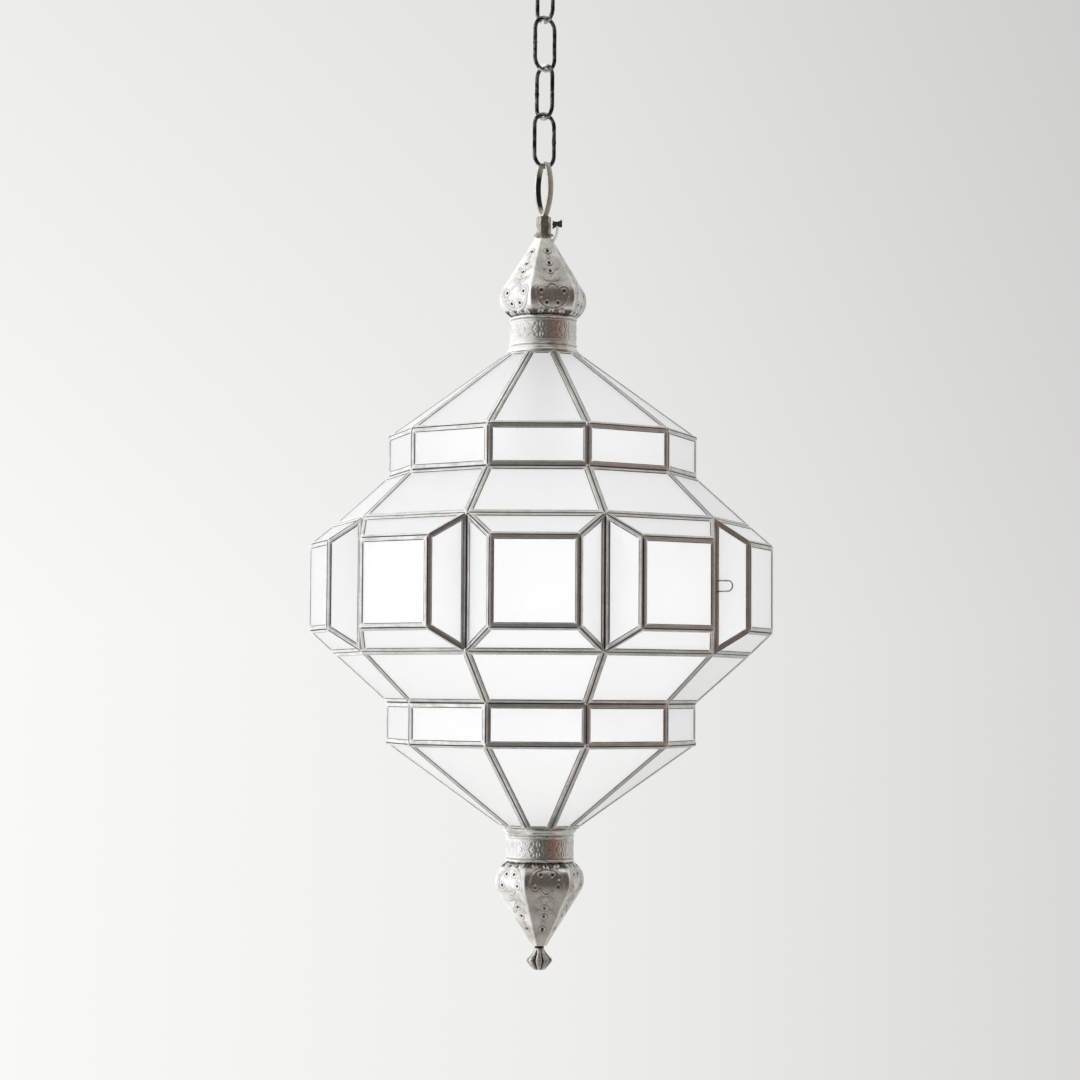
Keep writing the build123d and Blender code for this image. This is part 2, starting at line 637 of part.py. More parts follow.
def pane_with_came(name, gap=0.0):
    """A pane and the folded came round it. The came's sides lean on the mitres, open by a seam outside."""
    corners = PANES[name]
    normal = outward_normal(corners)
    face = Plane(origin=corners[0], x_dir=corners[1] - corners[0], z_dir=normal)
    outline = [face.to_local_coords(corner) for corner in corners]
    inner = inner_insets(corners, gap)
    outer = [SEAM if pane_across(start, end) else 0.0 for start, end in edges_of(corners)]
    pocket = []
    for near, far in zip(outer, inner):
        slope = (far - near) / CAME_DEPTH
        pocket.append(CAME_WALL + max(near + slope * CAME_LIP, far - slope * CAME_LIP))
    window = [CAME_FACE] * len(corners)
    groove = CAME_DEPTH - 2 * CAME_LIP
    walls = [leaning_wall(corners, side, outer[side], inner[side]) for side in range(len(corners))]
    if name in ("bay_left", "bay_right"):
        for cap, side in (("bay_top", 2), ("bay_bottom", 0)):
            walls.append(leaning_wall(PANES[cap], side, SEAM, inner_insets(PANES[cap], gap)[side]))

    with BuildPart() as came:
        with BuildSketch(face):
            Polygon(*inset(outline, [min(sides) for sides in zip(outer, inner)]), align=None)
        extrude(amount=-CAME_DEPTH)
        for wall in walls:
            split(bisect_by=wall, keep=Keep.BOTTOM)
        with BuildSketch(face.offset(-CAME_LIP)):
            Polygon(*inset(outline, pocket), align=None)
        extrude(amount=-groove, mode=Mode.SUBTRACT)
        with BuildSketch(face):
            Polygon(*inset(outline, window), align=None)
        extrude(amount=-CAME_DEPTH, mode=Mode.SUBTRACT)

    with BuildPart() as glass:
        with BuildSketch(face.offset(-CAME_LIP - PANE_PLAY / 2)):
            Polygon(*inset(outline, [side + PANE_PLAY for side in pocket]), align=None)
        extrude(amount=-(groove - PANE_PLAY))
    return came.part, glass.part


# The six courses of ten panes each
for course_name in ("upper_cone", "upper_rim", "upper_shoulder", "lower_shoulder", "lower_rim", "lower_cone"):
    one_came, one_glass = pane_with_came(course_name)
    for piece, kind in ((one_came, "cames"), (one_glass, "glass")):
        with BuildPart() as course:
            with PolarLocations(0, SIDES):
                add(piece)
        save(course.part, f"{course_name}_{kind}")

# The ten bays: nine soldered in place and one hung as the door
bay_pieces = [pane_with_came(name) for name in BAY_PANES]
door_pieces = [pane_with_came(name, DOOR_GAP) for name in BAY_PANES]
for bay in range(SIDES):
    is_door = bay == DOOR_BAY
    pieces = door_pieces if is_door else bay_pieces
    for kind, label in enumerate(("cames", "glass")):
        with BuildPart() as bay_group:
            for piece in pieces:
                add(piece[kind], rotation=(0, 0, 360 / SIDES * bay))
        save(bay_group.part, f"door_{label}" if is_door else f"bay_{bay + 1:02d}_{label}")

# Door hinge, in the valley between the door bay and the next
hinge_direction = (DOOR_BAY + 0.5) * 360 / SIDES
pull_direction = (DOOR_BAY - 0.5) * 360 / SIDES
hinge_centre = around(BAND_RADIUS + HINGE_OFFSET, hinge_direction, band_centre)


def valley_side(name, direction):
    """The face of a bay's side pane at its valley edge: X runs from the valley over the pane, Z outwards."""
    steps = direction * SIDES / 360 - (0.5 if name == "bay_right" else -0.5)
    normal = outward_normal(PANES[name]).rotate(Axis.Z, 360 / SIDES * steps)
    side = -1 if name == "bay_right" else 1
    over_pane = Vector(0, 0, side).cross(normal)
    return Plane(origin=around(BAND_RADIUS, direction, band_centre), x_dir=over_pane, z_dir=normal)


def knuckles(side_face, bottoms):
    """Hinge knuckles: rolled tubes round the pin line, each with a leaf soldered on the came."""
    rise = (hinge_centre - side_face.origin).dot(side_face.z_dir)
    leaf_height = rise - KNUCKLE_RADIUS + LEAF_THICKNESS
    leaf_start = SEAM + PANE_PLAY
    with BuildPart() as tubes:
        for bottom in bottoms:
            foot = Vector(side_face.origin.X, side_face.origin.Y, band_centre + bottom)
            level = Plane(origin=foot, x_dir=side_face.x_dir, z_dir=(0, 0, 1))
            across = 1 if level.y_dir.dot(side_face.z_dir) > 0 else -1
            tube_centre = level.to_local_coords(hinge_centre)
            with BuildSketch(level):
                with Locations((tube_centre.X, tube_centre.Y)):
                    Circle(KNUCKLE_RADIUS)
                with Locations((leaf_start + LEAF_WIDTH / 2, across * leaf_height / 2)):
                    Rectangle(LEAF_WIDTH, leaf_height)
                with Locations((tube_centre.X, tube_centre.Y)):
                    Circle(PIN_RADIUS + PIN_PLAY, mode=Mode.SUBTRACT)
            extrude(amount=KNUCKLE_LENGTH)
    return tubes.part


outer_knuckle = KNUCKLE_REACH - KNUCKLE_LENGTH
inner_knuckle = outer_knuckle - KNUCKLE_PLAY - KNUCKLE_LENGTH
frame_side = valley_side("bay_left", hinge_direction)
door_side = valley_side("bay_right", hinge_direction)
save(knuckles(frame_side, [outer_knuckle, -KNUCKLE_REACH]), "frame_hinge_knuckles")
save(knuckles(door_side, [inner_knuckle, -inner_knuckle - KNUCKLE_LENGTH]), "door_hinge_knuckles")

with BuildPart() as hinge_pin:
    with BuildSketch(Plane(origin=hinge_centre - Vector(0, 0, KNUCKLE_REACH))):
        Circle(PIN_RADIUS)
    extrude(amount=2 * KNUCKLE_REACH)
    with BuildSketch(Plane(origin=hinge_centre + Vector(0, 0, KNUCKLE_REACH))):
        Circle(PIN_HEAD_RADIUS)
    extrude(amount=PIN_HEAD_HEIGHT)
save(hinge_pin.part, "hinge_pin")

# Door pull: a U of wire soldered to the came at the door's free edge, standing straight out
pull_face = valley_side("bay_left", pull_direction)
pull_foot = pull_face.origin + pull_face.x_dir * PULL_SETBACK
pull_out = around(1, pull_direction, 0)
pull_bend_radius = PULL_GAUGE / 2
pull_straight = PULL_REACH - pull_bend_radius - PULL_WIRE_RADIUS
leg_lead_in = 3 * PULL_WIRE_RADIUS
pull_root = Plane(origin=pull_foot - pull_out * leg_lead_in, x_dir=(0, 0, 1), z_dir=pull_out)
pull_end = pull_root.offset(leg_lead_in + pull_straight)
with BuildPart() as door_pull:
    with BuildSketch(pull_root):
        with GridLocations(PULL_GAUGE, 1, 2, 1):
            wire_section(PULL_WIRE_RADIUS)
    extrude(amount=leg_lead_in + pull_straight)
    with BuildSketch(pull_end):
        with Locations((pull_bend_radius, 0)):
            wire_section(PULL_WIRE_RADIUS)
    revolve(axis=Axis(pull_end.origin, -pull_end.y_dir), revolution_arc=180)
    split(bisect_by=pull_face, keep=Keep.TOP)
save(door_pull.part, "door_pull")

# Lampholder: a cap on the stem and a stepped barrel with the bulb's socket
barrel_top = holder_top - HOLDER_CAP_HEIGHT
barrel_bottom = barrel_top - HOLDER_BARREL_HEIGHT
section_plane = Plane.XZ
with BuildPart() as holder_cap:
    with BuildSketch(section_plane):
        with BuildLine():
            Polyline(
                (STEM_RADIUS + THREAD_PLAY, holder_top - STEM_ENGAGEMENT - THREAD_PLAY),
                (STEM_RADIUS + THREAD_PLAY, holder_top),
                (HOLDER_CAP_SHOULDER, holder_top),
                (HOLDER_RADIUS, holder_top - HOLDER_CAP_HEIGHT / 2),
                (HOLDER_RADIUS, barrel_top),
                (0, barrel_top),
                (0, holder_top - STEM_ENGAGEMENT - THREAD_PLAY),
                close=True,
            )
        make_face()
    revolve(axis=Axis.Z)
    lead_entry = around(lead_entry_reach, LEAD_DIRECTION, holder_top)
    with BuildSketch(Plane(origin=lead_entry, z_dir=(0, 0, 1))):
        Circle(LEAD_RADIUS + LEAD_HOLE_CLEARANCE)
    extrude(amount=-HOLDER_CAP_HEIGHT / 2, mode=Mode.SUBTRACT)
save(holder_cap.part, "holder_cap")

socket_radius = BULB_CAP_RADIUS + SOCKET_WALL_CLEARANCE
socket_top = barrel_bottom + SOCKET_DEPTH
with BuildPart() as holder_barrel:
    with BuildSketch(section_plane):
        with BuildLine():
            Polyline(
                (0, socket_top),
                (socket_radius, socket_top),
                (socket_radius, barrel_bottom),
                (HOLDER_RADIUS - HOLDER_STEP, barrel_bottom),
                (HOLDER_RADIUS - HOLDER_STEP, barrel_bottom + HOLDER_BARREL_HEIGHT / 2),
                (HOLDER_RADIUS, barrel_bottom + HOLDER_BARREL_HEIGHT / 2),
                (HOLDER_RADIUS, barrel_top),
                (0, barrel_top),
                close=True,
            )
        make_face()
    revolve(axis=Axis.Z)
save(holder_barrel.part, "holder_barrel")

# Bulb: a shell cap with its contact button, and a hollow globe, turned in bands, whose neck stands in the cap
cap_top = socket_top - BULB_PLAY - BULB_CONTACT_HEIGHT
cap_bottom = cap_top - BULB_CAP_HEIGHT
globe_centre = cap_bottom - BULB_NECK_LENGTH
with BuildPart() as bulb_cap:
    with BuildSketch(Plane.XY.offset(cap_bottom)):
        Circle(BULB_CAP_RADIUS)
    extrude(amount=BULB_CAP_HEIGHT)
    with BuildSketch(Plane.XY.offset(cap_top)):
        Circle(BULB_CONTACT_RADIUS)
    extrude(amount=BULB_CONTACT_HEIGHT)
save(bulb_cap.part, "bulb_cap")


with BuildPart() as bulb_globe:
    with BuildSketch(section_plane):
        for depth, mode in ((0, Mode.ADD), (BULB_WALL, Mode.SUBTRACT)):
            sphere = BULB_RADIUS - depth
            throat = BULB_CAP_RADIUS - depth
            join = degrees(acos((throat + BULB_RADIUS / 2) / (sphere + BULB_RADIUS / 2)))
            with BuildLine():
                globe = CenterArc((0, globe_centre), sphere, -90, 90 + join, mode=Mode.PRIVATE)
                flare = TangentArc(globe @ 1, (throat, cap_bottom), tangent=globe % 1, mode=Mode.PRIVATE)
                outline = [globe @ (band / GLOBE_BANDS) for band in range(GLOBE_BANDS + 1)]
                outline += [flare @ ((band + 1) / THROAT_BANDS) for band in range(THROAT_BANDS)]
                Polyline(*outline, (0, cap_bottom), close=True)
            make_face(mode=mode)
    revolve(axis=Axis.Z)
save(bulb_globe.part, "bulb_globe")

# Tail of the supply lead: one tube along its route
with BuildPart() as lead_tail:
    with BuildLine() as lead_line:
        Spline(*lead_points)
    with BuildSketch(Plane(origin=lead_line.line @ 0, z_dir=lead_line.line % 0)):
        RegularPolygon(LEAD_RADIUS, WIRE_SIDES)
    sweep()
save(lead_tail.part, "lead_tail")

# The tied end: a knot drawn in at its waist
tie_plane = upright(LEAD_DIRECTION, dome_crown)
with BuildPart() as lead_tie:
    with BuildSketch(tie_plane.offset(-TIE_THICKNESS / 2)):
        with Locations((lead_route[-1][0], lead_route[-1][1] - dome_crown)):
            half_width, half_height, half_waist = TIE_WIDTH / 2, TIE_HEIGHT / 2, TIE_WAIST / 2
            Polygon(
                (-half_width, -half_height),
                (0, -half_waist),
                (half_width, -half_height),
                (half_width, half_height),
                (0, half_waist),
                (-half_width, half_height),
                align=None,
            )
    extrude(amount=TIE_THICKNESS)
    add(lead_tail.part, mode=Mode.SUBTRACT)
save(lead_tie.part, "lead_tie")
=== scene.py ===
import bmesh
import bpy
import math
import numpy as np
from mathutils import Matrix, Vector


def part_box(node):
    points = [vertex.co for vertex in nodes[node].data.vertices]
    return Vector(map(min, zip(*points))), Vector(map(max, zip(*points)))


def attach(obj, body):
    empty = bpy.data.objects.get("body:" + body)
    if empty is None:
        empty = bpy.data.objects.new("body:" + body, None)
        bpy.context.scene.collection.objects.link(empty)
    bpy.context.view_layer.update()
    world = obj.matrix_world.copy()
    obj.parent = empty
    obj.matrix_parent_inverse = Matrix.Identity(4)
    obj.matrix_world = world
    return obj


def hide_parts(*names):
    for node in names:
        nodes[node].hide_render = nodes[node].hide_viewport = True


# A hanging lantern of frosted panes in folded tin cames, between two pierced and embossed tin domes, on a
# steel chain. Lengths are in millimetres here and become metres as each mesh is written.

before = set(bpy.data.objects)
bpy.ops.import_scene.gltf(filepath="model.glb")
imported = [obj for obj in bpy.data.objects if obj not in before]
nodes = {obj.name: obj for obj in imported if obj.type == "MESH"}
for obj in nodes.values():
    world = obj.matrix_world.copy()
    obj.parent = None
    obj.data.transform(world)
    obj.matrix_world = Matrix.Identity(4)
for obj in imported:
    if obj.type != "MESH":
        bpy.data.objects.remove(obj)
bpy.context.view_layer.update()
scene = bpy.context.scene

MM = 0.001
PLATE_BOTTOM, PLATE_SCREW_CIRCLE = -3.0, 22.0
LINK_SPAN, LINK_WIDTH, LINK_WIRE = 44.0, 22.0, 1.55
LINK_MIDDLES = {1: -159.7, 2: -122.3, 3: -84.9, 4: -47.5}
CHAIN_TURN = 40.0
HOOK_CENTRE, HOOK_BEND, HOOK_WIRE, HOOK_WRAP = -22.0, 9.0, 2.0, 290.0
BAND_CENTRE = -504.063
SIDES, NECK, RIM, BAND = 10, 28.8, 117.2, 158.0
HALF_BAND, SHOULDER, RIM_STEP, CONE = 49.0, 36.6, 30.8, 63.4
BAY_DEPTH, BAY_WIDTH, BAY_HEIGHT = 22.5, 63.8, 65.2
CAME_DEPTH, CAME_FACE, CAME_LIP, CAME_WALL, SEAM, DOOR_GAP = 3.0, 3.1, 0.5, 0.5, 0.5, 0.4
DOOR_BAY = 2
DOME_CROWN, DOME_BASE, UPPER_NECK = -233.663, -296.863, -324.263
LOWER_NECK, FINIAL_BASE, FINIAL_TIP = -683.863, -708.863, -772.063
HOLDER_TOP = -304.913
UP, DOWN = Vector((0, 0, 1)), Vector((0, 0, -1))


def around(radius, direction, height):
    """A point at a radius and a height, in a direction in degrees from the front."""
    turn = math.radians(direction)
    return Vector((radius * math.sin(turn), -radius * math.cos(turn), height))


def colour(code):
    """An sRGB hex colour as linear values."""
    parts = [int(code[i:i + 2], 16) / 255 for i in (1, 3, 5)]
    return (*(p / 12.92 if p <= 0.04045 else ((p + 0.055) / 1.055) ** 2.4 for p in parts), 1.0)


def place(tree, kind, inputs=(), stops=(), **settings):
    """Adds a node with its settings, its inputs and a ramp's stops.

    An input is a value, a socket, a node that gives its first live output, or a list of these for one socket.
    """
    made = tree.nodes.new(kind)
    for name, value in settings.items():
        setattr(made, name, value)
    for name, value in dict(inputs).items():
        for source in value if isinstance(value, list) else [value]:
            if isinstance(source, bpy.types.Node):
                source = next(output for output in source.outputs if output.enabled)
            if isinstance(source, bpy.types.NodeSocket):
                tree.links.new(source, made.inputs[name])
            else:
                made.inputs[name].default_value = source
    for index, (position, code) in enumerate(stops):
        ends = made.color_ramp.elements
        stop = ends[index] if index < len(ends) else ends.new(position)
        stop.position, stop.color = position, colour(code)
    return made


def new_finish(name):
    """A material and its empty tree."""
    finish = bpy.data.materials.new(name)
    finish.use_nodes = True
    finish.node_tree.nodes.clear()
    return finish, finish.node_tree


def worn_metal(
    name, tones, grime_and_shade, smooth, rough, patch_mm, pore_mm, pit_mm, specks=0.4, recess="", joint="", drawn="",
):
    """A metal rubbed bright in patches, duller and tarnished between them, dark in its pores, and darkened where its
    recess attribute says: by a wash in stamped recesses, and by painted shade on the ring and the cames.

    tones go from tarnished to rubbed. recess and joint name attributes of the mesh: how dark a point is painted, for
    the wash in a stamping's recesses and for painted shade on the ring and the cames, and where it is soldered. drawn
    names the UV map that lengthwise draw lines follow.
    """
    finish, tree = new_finish(name)
    where = place(tree, "ShaderNodeTexCoord").outputs["Object"]
    patches = place(tree, "ShaderNodeTexNoise", {
        "Vector": where, "Scale": 1 / (patch_mm * MM), "Detail": 5.0, "Roughness": 0.62, "Distortion": 0.6,
    })
    pores = place(tree, "ShaderNodeTexNoise", {
        "Vector": where, "Scale": 1 / (pore_mm * MM), "Detail": 3.0, "Roughness": 0.7,
    })
    if drawn:
        strip = place(tree, "ShaderNodeUVMap", uv_map=drawn)
        stretched = place(tree, "ShaderNodeMapping", {0: strip, "Scale": (1 / (24 * MM), 1 / (0.9 * MM), 1)})
        lines = place(tree, "ShaderNodeTexNoise", {"Vector": stretched, "Scale": 1.0, "Detail": 3.0})
        patches = place(tree, "ShaderNodeMix", {0: 0.55, 2: patches, 3: lines})
    shade = place(tree, "ShaderNodeValToRGB", {"Fac": patches}, zip((0.3, 0.46, 0.64), tones))
    depth = place(tree, "ShaderNodeMapRange", {"Value": pores, 1: 0.36, 2: 0.5, 3: specks, 4: 0.0})
    shade = place(tree, "ShaderNodeMix", {0: depth, 6: shade, 7: colour(grime_and_shade)}, data_type="RGBA")
    sheen = place(tree, "ShaderNodeMapRange", {"Value": patches, 1: 0.35, 2: 0.65, 3: rough, 4: smooth})
    # The recess attribute paints the grime colour in: a wash in stamped recesses, and painted shade inside the ring
    # and along the cames' seams and lips
    if recess:
        depth = place(tree, "ShaderNodeAttribute", attribute_name=recess).outputs["Fac"]
        broken = place(tree, "ShaderNodeMath", {0: depth, 1: patches}, operation="ADD")
        stain_and_shade = place(tree, "ShaderNodeMapRange", {"Value": broken, 1: 0.7, 2: 1.5, 3: 0.0, 4: 0.95})
        shade = place(tree, "ShaderNodeMix", {0: stain_and_shade, 6: shade, 7: colour(grime_and_shade)}, data_type="RGBA")
        sheen = place(tree, "ShaderNodeMath", {0: stain_and_shade, 1: 0.25, 2: sheen}, operation="MULTIPLY_ADD")
    if joint:
        near = place(tree, "ShaderNodeAttribute", attribute_name=joint).outputs["Fac"]
        ragged = place(tree, "ShaderNodeMath", {0: near, 1: patches}, operation="ADD")
        flow = place(tree, "ShaderNodeMapRange", {"Value": ragged, 1: 0.85, 2: 1.15})
        shade = place(tree, "ShaderNodeMix", {0: flow, 6: shade, 7: colour("#E4E3DF")}, data_type="RGBA")
    height = place(tree, "ShaderNodeMath", {0: patches, 1: 0.6, 2: pores}, operation="MULTIPLY_ADD")
    skin = place(tree, "ShaderNodeBump", {"Height": height, "Distance": pit_mm * MM, "Strength": 0.8})
    shader = place(tree, "ShaderNodeBsdfPrincipled", {
        "Base Color": shade, "Roughness": sheen, "Normal": skin, "Metallic": 1.0,
    })
    place(tree, "ShaderNodeOutputMaterial", {"Surface": shader})
    return finish


# Steel of the hook and its plate, heat-blackened and waxed: an even, near-black skin
blackened_steel = worn_metal(
    "blackened_steel", ("#1D1C1B", "#282625", "#3F3D3B"), "#141312", 0.32, 0.5, 16, 0.9, 0.1,
)
# Chain steel, blackened too: soft grey glints, and rubbed where two links bear on each other
chain_steel = worn_metal(
    "chain_steel", ("#1D1C1B", "#3A3836", "#85837F"), "#141312", 0.26, 0.5, 6, 0.9, 0.12, joint="worn",
)
# Strap of drawn mild steel, polished on its outside and edges, with painted shade that makes it dull and dark where it
# faces the inside of the ring
bright_steel = worn_metal(
    "bright_steel", ("#A5A29C", "#C6C4BF", "#E2E1DD"), "#1E1B19", 0.24, 0.38, 9, 0.8, 0.04, 0.15, recess="inside",
)
# Zinc-plated turned steel, gone a little grey
plated_steel = worn_metal(
    "plated_steel", ("#7C7873", "#9C9993", "#CBC9C4"), "#57514A", 0.26, 0.45, 5, 0.7, 0.06,
)
# Sheet tin with its came fold: drawn bright, dulled by flux and handling, with black cement at its lip that also
# serves as a painted shadow line on the glass, and painted shade down the walls of its seams
tinned_came = worn_metal(
    "tinned_came", ("#AFADA8", "#D0CECB", "#F0EFED"), "#2B2724", 0.24, 0.4, 9, 0.7, 0.05, 0.2,
    recess="cement", joint="solder", drawn="strip",
)
# Soft solder, left as it flowed: the brightest metal on the lantern
soft_solder = worn_metal("soft_solder", ("#B5B2AD", "#D2D0CC", "#EDECE9"), "#98958F", 0.2, 0.38, 4, 1.2, 0.1)
# Tinned iron wire, greyed where it is handled
tinned_wire = worn_metal("tinned_wire", ("#6A6661", "#8E8B85", "#C4C2BD"), "#4E4A45", 0.25, 0.42, 4, 0.5, 0.05)
# Stamped tin, polished on its face, with an antique wash left in its recesses
antique_tin = worn_metal(
    "antique_tin", ("#BBB8B3", "#DFDDDA", "#F8F7F6"), "#4A423C", 0.18, 0.34, 14, 0.9, 0.03, 0.15, recess="recess",
)
# Cast tin of the knob, darker in its flutes
cast_tin = worn_metal(
    "cast_tin", ("#99958E", "#B9B6B0", "#E0DEDA"), "#2C2622", 0.22, 0.4, 6, 0.9, 0.08, 0.3, recess="recess",
)
# Spun aluminium of the bulb's cap: pale and even
spun_aluminium = worn_metal(
    "spun_aluminium", ("#A3A29F", "#B9B9B6", "#D2D2D0"), "#8C8B88", 0.22, 0.36, 6, 0.6, 0.04,
)


def frosted(name, body, clarity, grain_mm, wave_mm):
    """Glass etched on its face: it scatters most light once, and lets a blurred share through and out again."""
    finish, tree = new_finish(name)
    where = place(tree, "ShaderNodeTexCoord").outputs["Object"]
    cloud = place(tree, "ShaderNodeTexNoise", {"Vector": where, "Scale": 1 / (wave_mm * MM), "Detail": 3.0})
    grain = place(tree, "ShaderNodeTexNoise", {"Vector": where, "Scale": 1 / (grain_mm * MM), "Detail": 2.0})
    tone = place(tree, "ShaderNodeValToRGB", {"Fac": cloud}, zip((0.3, 0.7), body))
    leaving = place(tree, "ShaderNodeNewGeometry").outputs["Backfacing"]
    passed = place(tree, "ShaderNodeMapRange", {"Value": leaving, 3: clarity, 4: 1.0})
    etched = place(tree, "ShaderNodeMapRange", {"Value": cloud, 1: 0.3, 2: 0.7, 3: 0.4, 4: 0.5})
    sheen = place(tree, "ShaderNodeMix", {0: leaving, 2: etched, 3: 0.05})
    height = place(tree, "ShaderNodeMath", {0: cloud, 1: 3.0, 2: grain}, operation="MULTIPLY_ADD")
    skin = place(tree, "ShaderNodeBump", {"Height": height, "Distance": 0.05 * MM, "Strength": 0.5})
    shader = place(tree, "ShaderNodeBsdfPrincipled", {
        "Base Color": tone, "Roughness": sheen, "Normal": skin, "IOR": 1.5, "Transmission Weight": passed,
    })
    place(tree, "ShaderNodeOutputMaterial", {"Surface": shader})
    return finish


# Milk-white frosted sheet glass: even and matt, with the lampholder only guessed at behind it
frosted_glass = frosted("frosted_glass", ("#F9FAFA", "#FDFDFE"), 0.36, 0.7, 40)
# Pearl glass of the bulb: a soft, slightly warm white
pearl_glass = frosted("pearl_glass", ("#EFEFEA", "#F7F6F0"), 0.4, 0.5, 18)


def moulded(name, dark, light, smooth, rough, grain_mm):
    """A moulded plastic or a tape with a fine grain and a faint variation of its colour."""
    finish, tree = new_finish(name)
    where = place(tree, "ShaderNodeTexCoord").outputs["Object"]
    grain = place(tree, "ShaderNodeTexNoise", {"Vector": where, "Scale": 1 / (grain_mm * MM), "Detail": 4.0})
    tone = place(tree, "ShaderNodeValToRGB", {"Fac": grain}, ((0.35, dark), (0.65, light)))
    sheen = place(tree, "ShaderNodeMapRange", {"Value": grain, 1: 0.3, 2: 0.7, 3: rough, 4: smooth})
    skin = place(tree, "ShaderNodeBump", {"Height": grain, "Distance": 0.06 * MM, "Strength": 0.7})
    shader = place(tree, "ShaderNodeBsdfPrincipled", {
        "Base Color": tone, "Roughness": sheen, "Normal": skin, "IOR": 1.5,
    })
    place(tree, "ShaderNodeOutputMaterial", {"Surface": shader})
    return finish


# Phenolic moulding of the lampholder, matt and almost black
phenolic = moulded("phenolic", "#241F1C", "#37332F", 0.4, 0.55, 1.5)
# Grey PVC sheath, slightly dusty
grey_sheath = moulded("grey_sheath", "#A3A19B", "#BDBBB5", 0.42, 0.6, 2.5)
# Black cotton tape, frayed and matt; its weave is drawn at 0.6 mm, the finest that shows
black_tape = moulded("black_tape", "#121110", "#2E2B29", 0.8, 0.95, 0.6)


def bare_mesh(name, points, edges=(), faces=()):
    """A mesh from millimetre points."""
    mesh = bpy.data.meshes.new(name)
    mesh.from_pydata([Vector(point) * MM for point in points], list(edges), list(faces))
    return mesh


def make_mesh(name, points, faces, finish, smooth=True, **attributes):
    """A mesh from millimetre points, with its finish and any point attributes."""
    mesh = bare_mesh(name, points, faces=faces)
    for label, values in attributes.items():
        mesh.attributes.new(label, "FLOAT", "POINT").data.foreach_set("value", np.asarray(values, np.float32))
    mesh.materials.append(finish)
    mesh.polygons.foreach_set("use_smooth", [smooth] * len(mesh.polygons))
    mesh.update()
    return mesh


def grid_faces(rows, columns, looped=False, around_it=True, capped=False):
    """The quads of a grid of points laid out row by row.

    looped joins the last row to the first, around_it the last column to the first, and capped closes both ends.
    """
    faces = []
    for i in range(rows - 1 + looped):
        for j in range(columns - 1 + around_it):
            corners = (i, j), (i, j + 1), (i + 1, j + 1), (i + 1, j)
            faces.append(tuple(row % rows * columns + column % columns for row, column in corners))
    if capped:
        faces += [tuple(range(columns))[::-1], tuple(range((rows - 1) * columns, rows * columns))]
    return faces


def show(name, mesh):
    """Puts a mesh in the scene as a piece."""
    mesh.name = name
    piece = bpy.data.objects.new(name, mesh)
    scene.collection.objects.link(piece)
    return piece


def seat(piece, body, slot, *replaced):
    """Hangs a piece on its body and hides the nodes it stands for. slot is not used."""
    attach(piece, body)
    if replaced:
        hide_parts(*replaced)
    return piece


def write_form(form, mesh, crisp_angle):
    """Writes a form to a mesh, shaded smooth but for the edges that are sharper than an angle."""
    for edge in form.edges:
        edge.smooth = len(edge.link_faces) == 2 and edge.calc_face_angle(0) < math.radians(crisp_angle)
    for face in form.faces:
        face.smooth = True
    form.to_mesh(mesh)
    form.free()


def tidy(piece, crisp_angle=35):
    """Merges doubled points, drops loose ones, and turns every face outwards."""
    form = bmesh.new()
    form.from_mesh(piece.data)
    bmesh.ops.remove_doubles(form, verts=form.verts, dist=0.002 * MM)
    bmesh.ops.dissolve_degenerate(form, edges=form.edges, dist=0.001 * MM)
    bmesh.ops.delete(form, geom=[v for v in form.verts if not v.link_faces], context="VERTS")
    bmesh.ops.recalc_face_normals(form, faces=form.faces)
    write_form(form, piece.data, crisp_angle)
    return piece


def softened(name, node, finish, width, segments=2):
    """A copy of a CAD node with its flat facets made whole and its sharp edges rounded over."""
    form = bmesh.new()
    form.from_mesh(nodes[node].data)
    bmesh.ops.remove_doubles(form, verts=form.verts, dist=0.002 * MM)
    bmesh.ops.dissolve_limit(form, angle_limit=math.radians(1), verts=form.verts, edges=form.edges)
    sharp = [e for e in form.edges if len(e.link_faces) == 2 and e.calc_face_angle(0) > math.radians(25)]
    bmesh.ops.bevel(
        form, geom=sharp, offset=width * MM, segments=segments, profile=0.5, affect="EDGES", clamp_overlap=True,
    )
    mesh = bpy.data.meshes.new(name)
    write_form(form, mesh, 35)
    mesh.materials.append(finish)
    return show(name, mesh)


def turned_body(name, profile, finish, steps=48):
    """A turned piece from a closed profile of radius and height; points at radius 0 close it on the axis."""
    turns = [2 * math.pi * step / steps for step in range(steps)]
    points = [(r * math.cos(turn), r * math.sin(turn), z) for r, z in profile for turn in turns]
    return tidy(show(name, make_mesh(name, points, grid_faces(len(profile), steps, looped=True), finish)))


def shape_tree(name, sizes, whole=()):
    """A geometry tree with a named input for each size and its finish, and the outputs of its group input."""
    tree = bpy.data.node_groups.new(name, "GeometryNodeTree")
    kinds = [("Geometry", "Geometry"), *((label, "Float") for label in sizes), *((label, "Int") for label in whole)]
    for label, kind in kinds + [("Finish", "Material")]:
        tree.interface.new_socket(label, in_out="INPUT", socket_type=f"NodeSocket{kind}")
    tree.interface.new_socket("Geometry", in_out="OUTPUT", socket_type="NodeSocketGeometry")
    return tree, place(tree, "NodeGroupInput").outputs


def close_tree(tree, given, geometry):
    """Ends a geometry tree: real geometry, smooth, in its finish."""
    real = place(tree, "GeometryNodeRealizeInstances", {"Geometry": geometry})
    soft = place(tree, "GeometryNodeSetShadeSmooth", {"Geometry": real})
    dressed = place(tree, "GeometryNodeSetMaterial", {"Geometry": soft, "Material": given["Finish"]})
    place(tree, "NodeGroupOutput", {"Geometry": dressed})


def settled_mesh(holder):
    """The evaluated mesh of an object that is then removed."""
    scene.collection.objects.link(holder)
    graph = bpy.context.evaluated_depsgraph_get()
    mesh = bpy.data.meshes.new_from_object(holder.evaluated_get(graph), depsgraph=graph)
    bpy.data.objects.remove(holder)
    return mesh


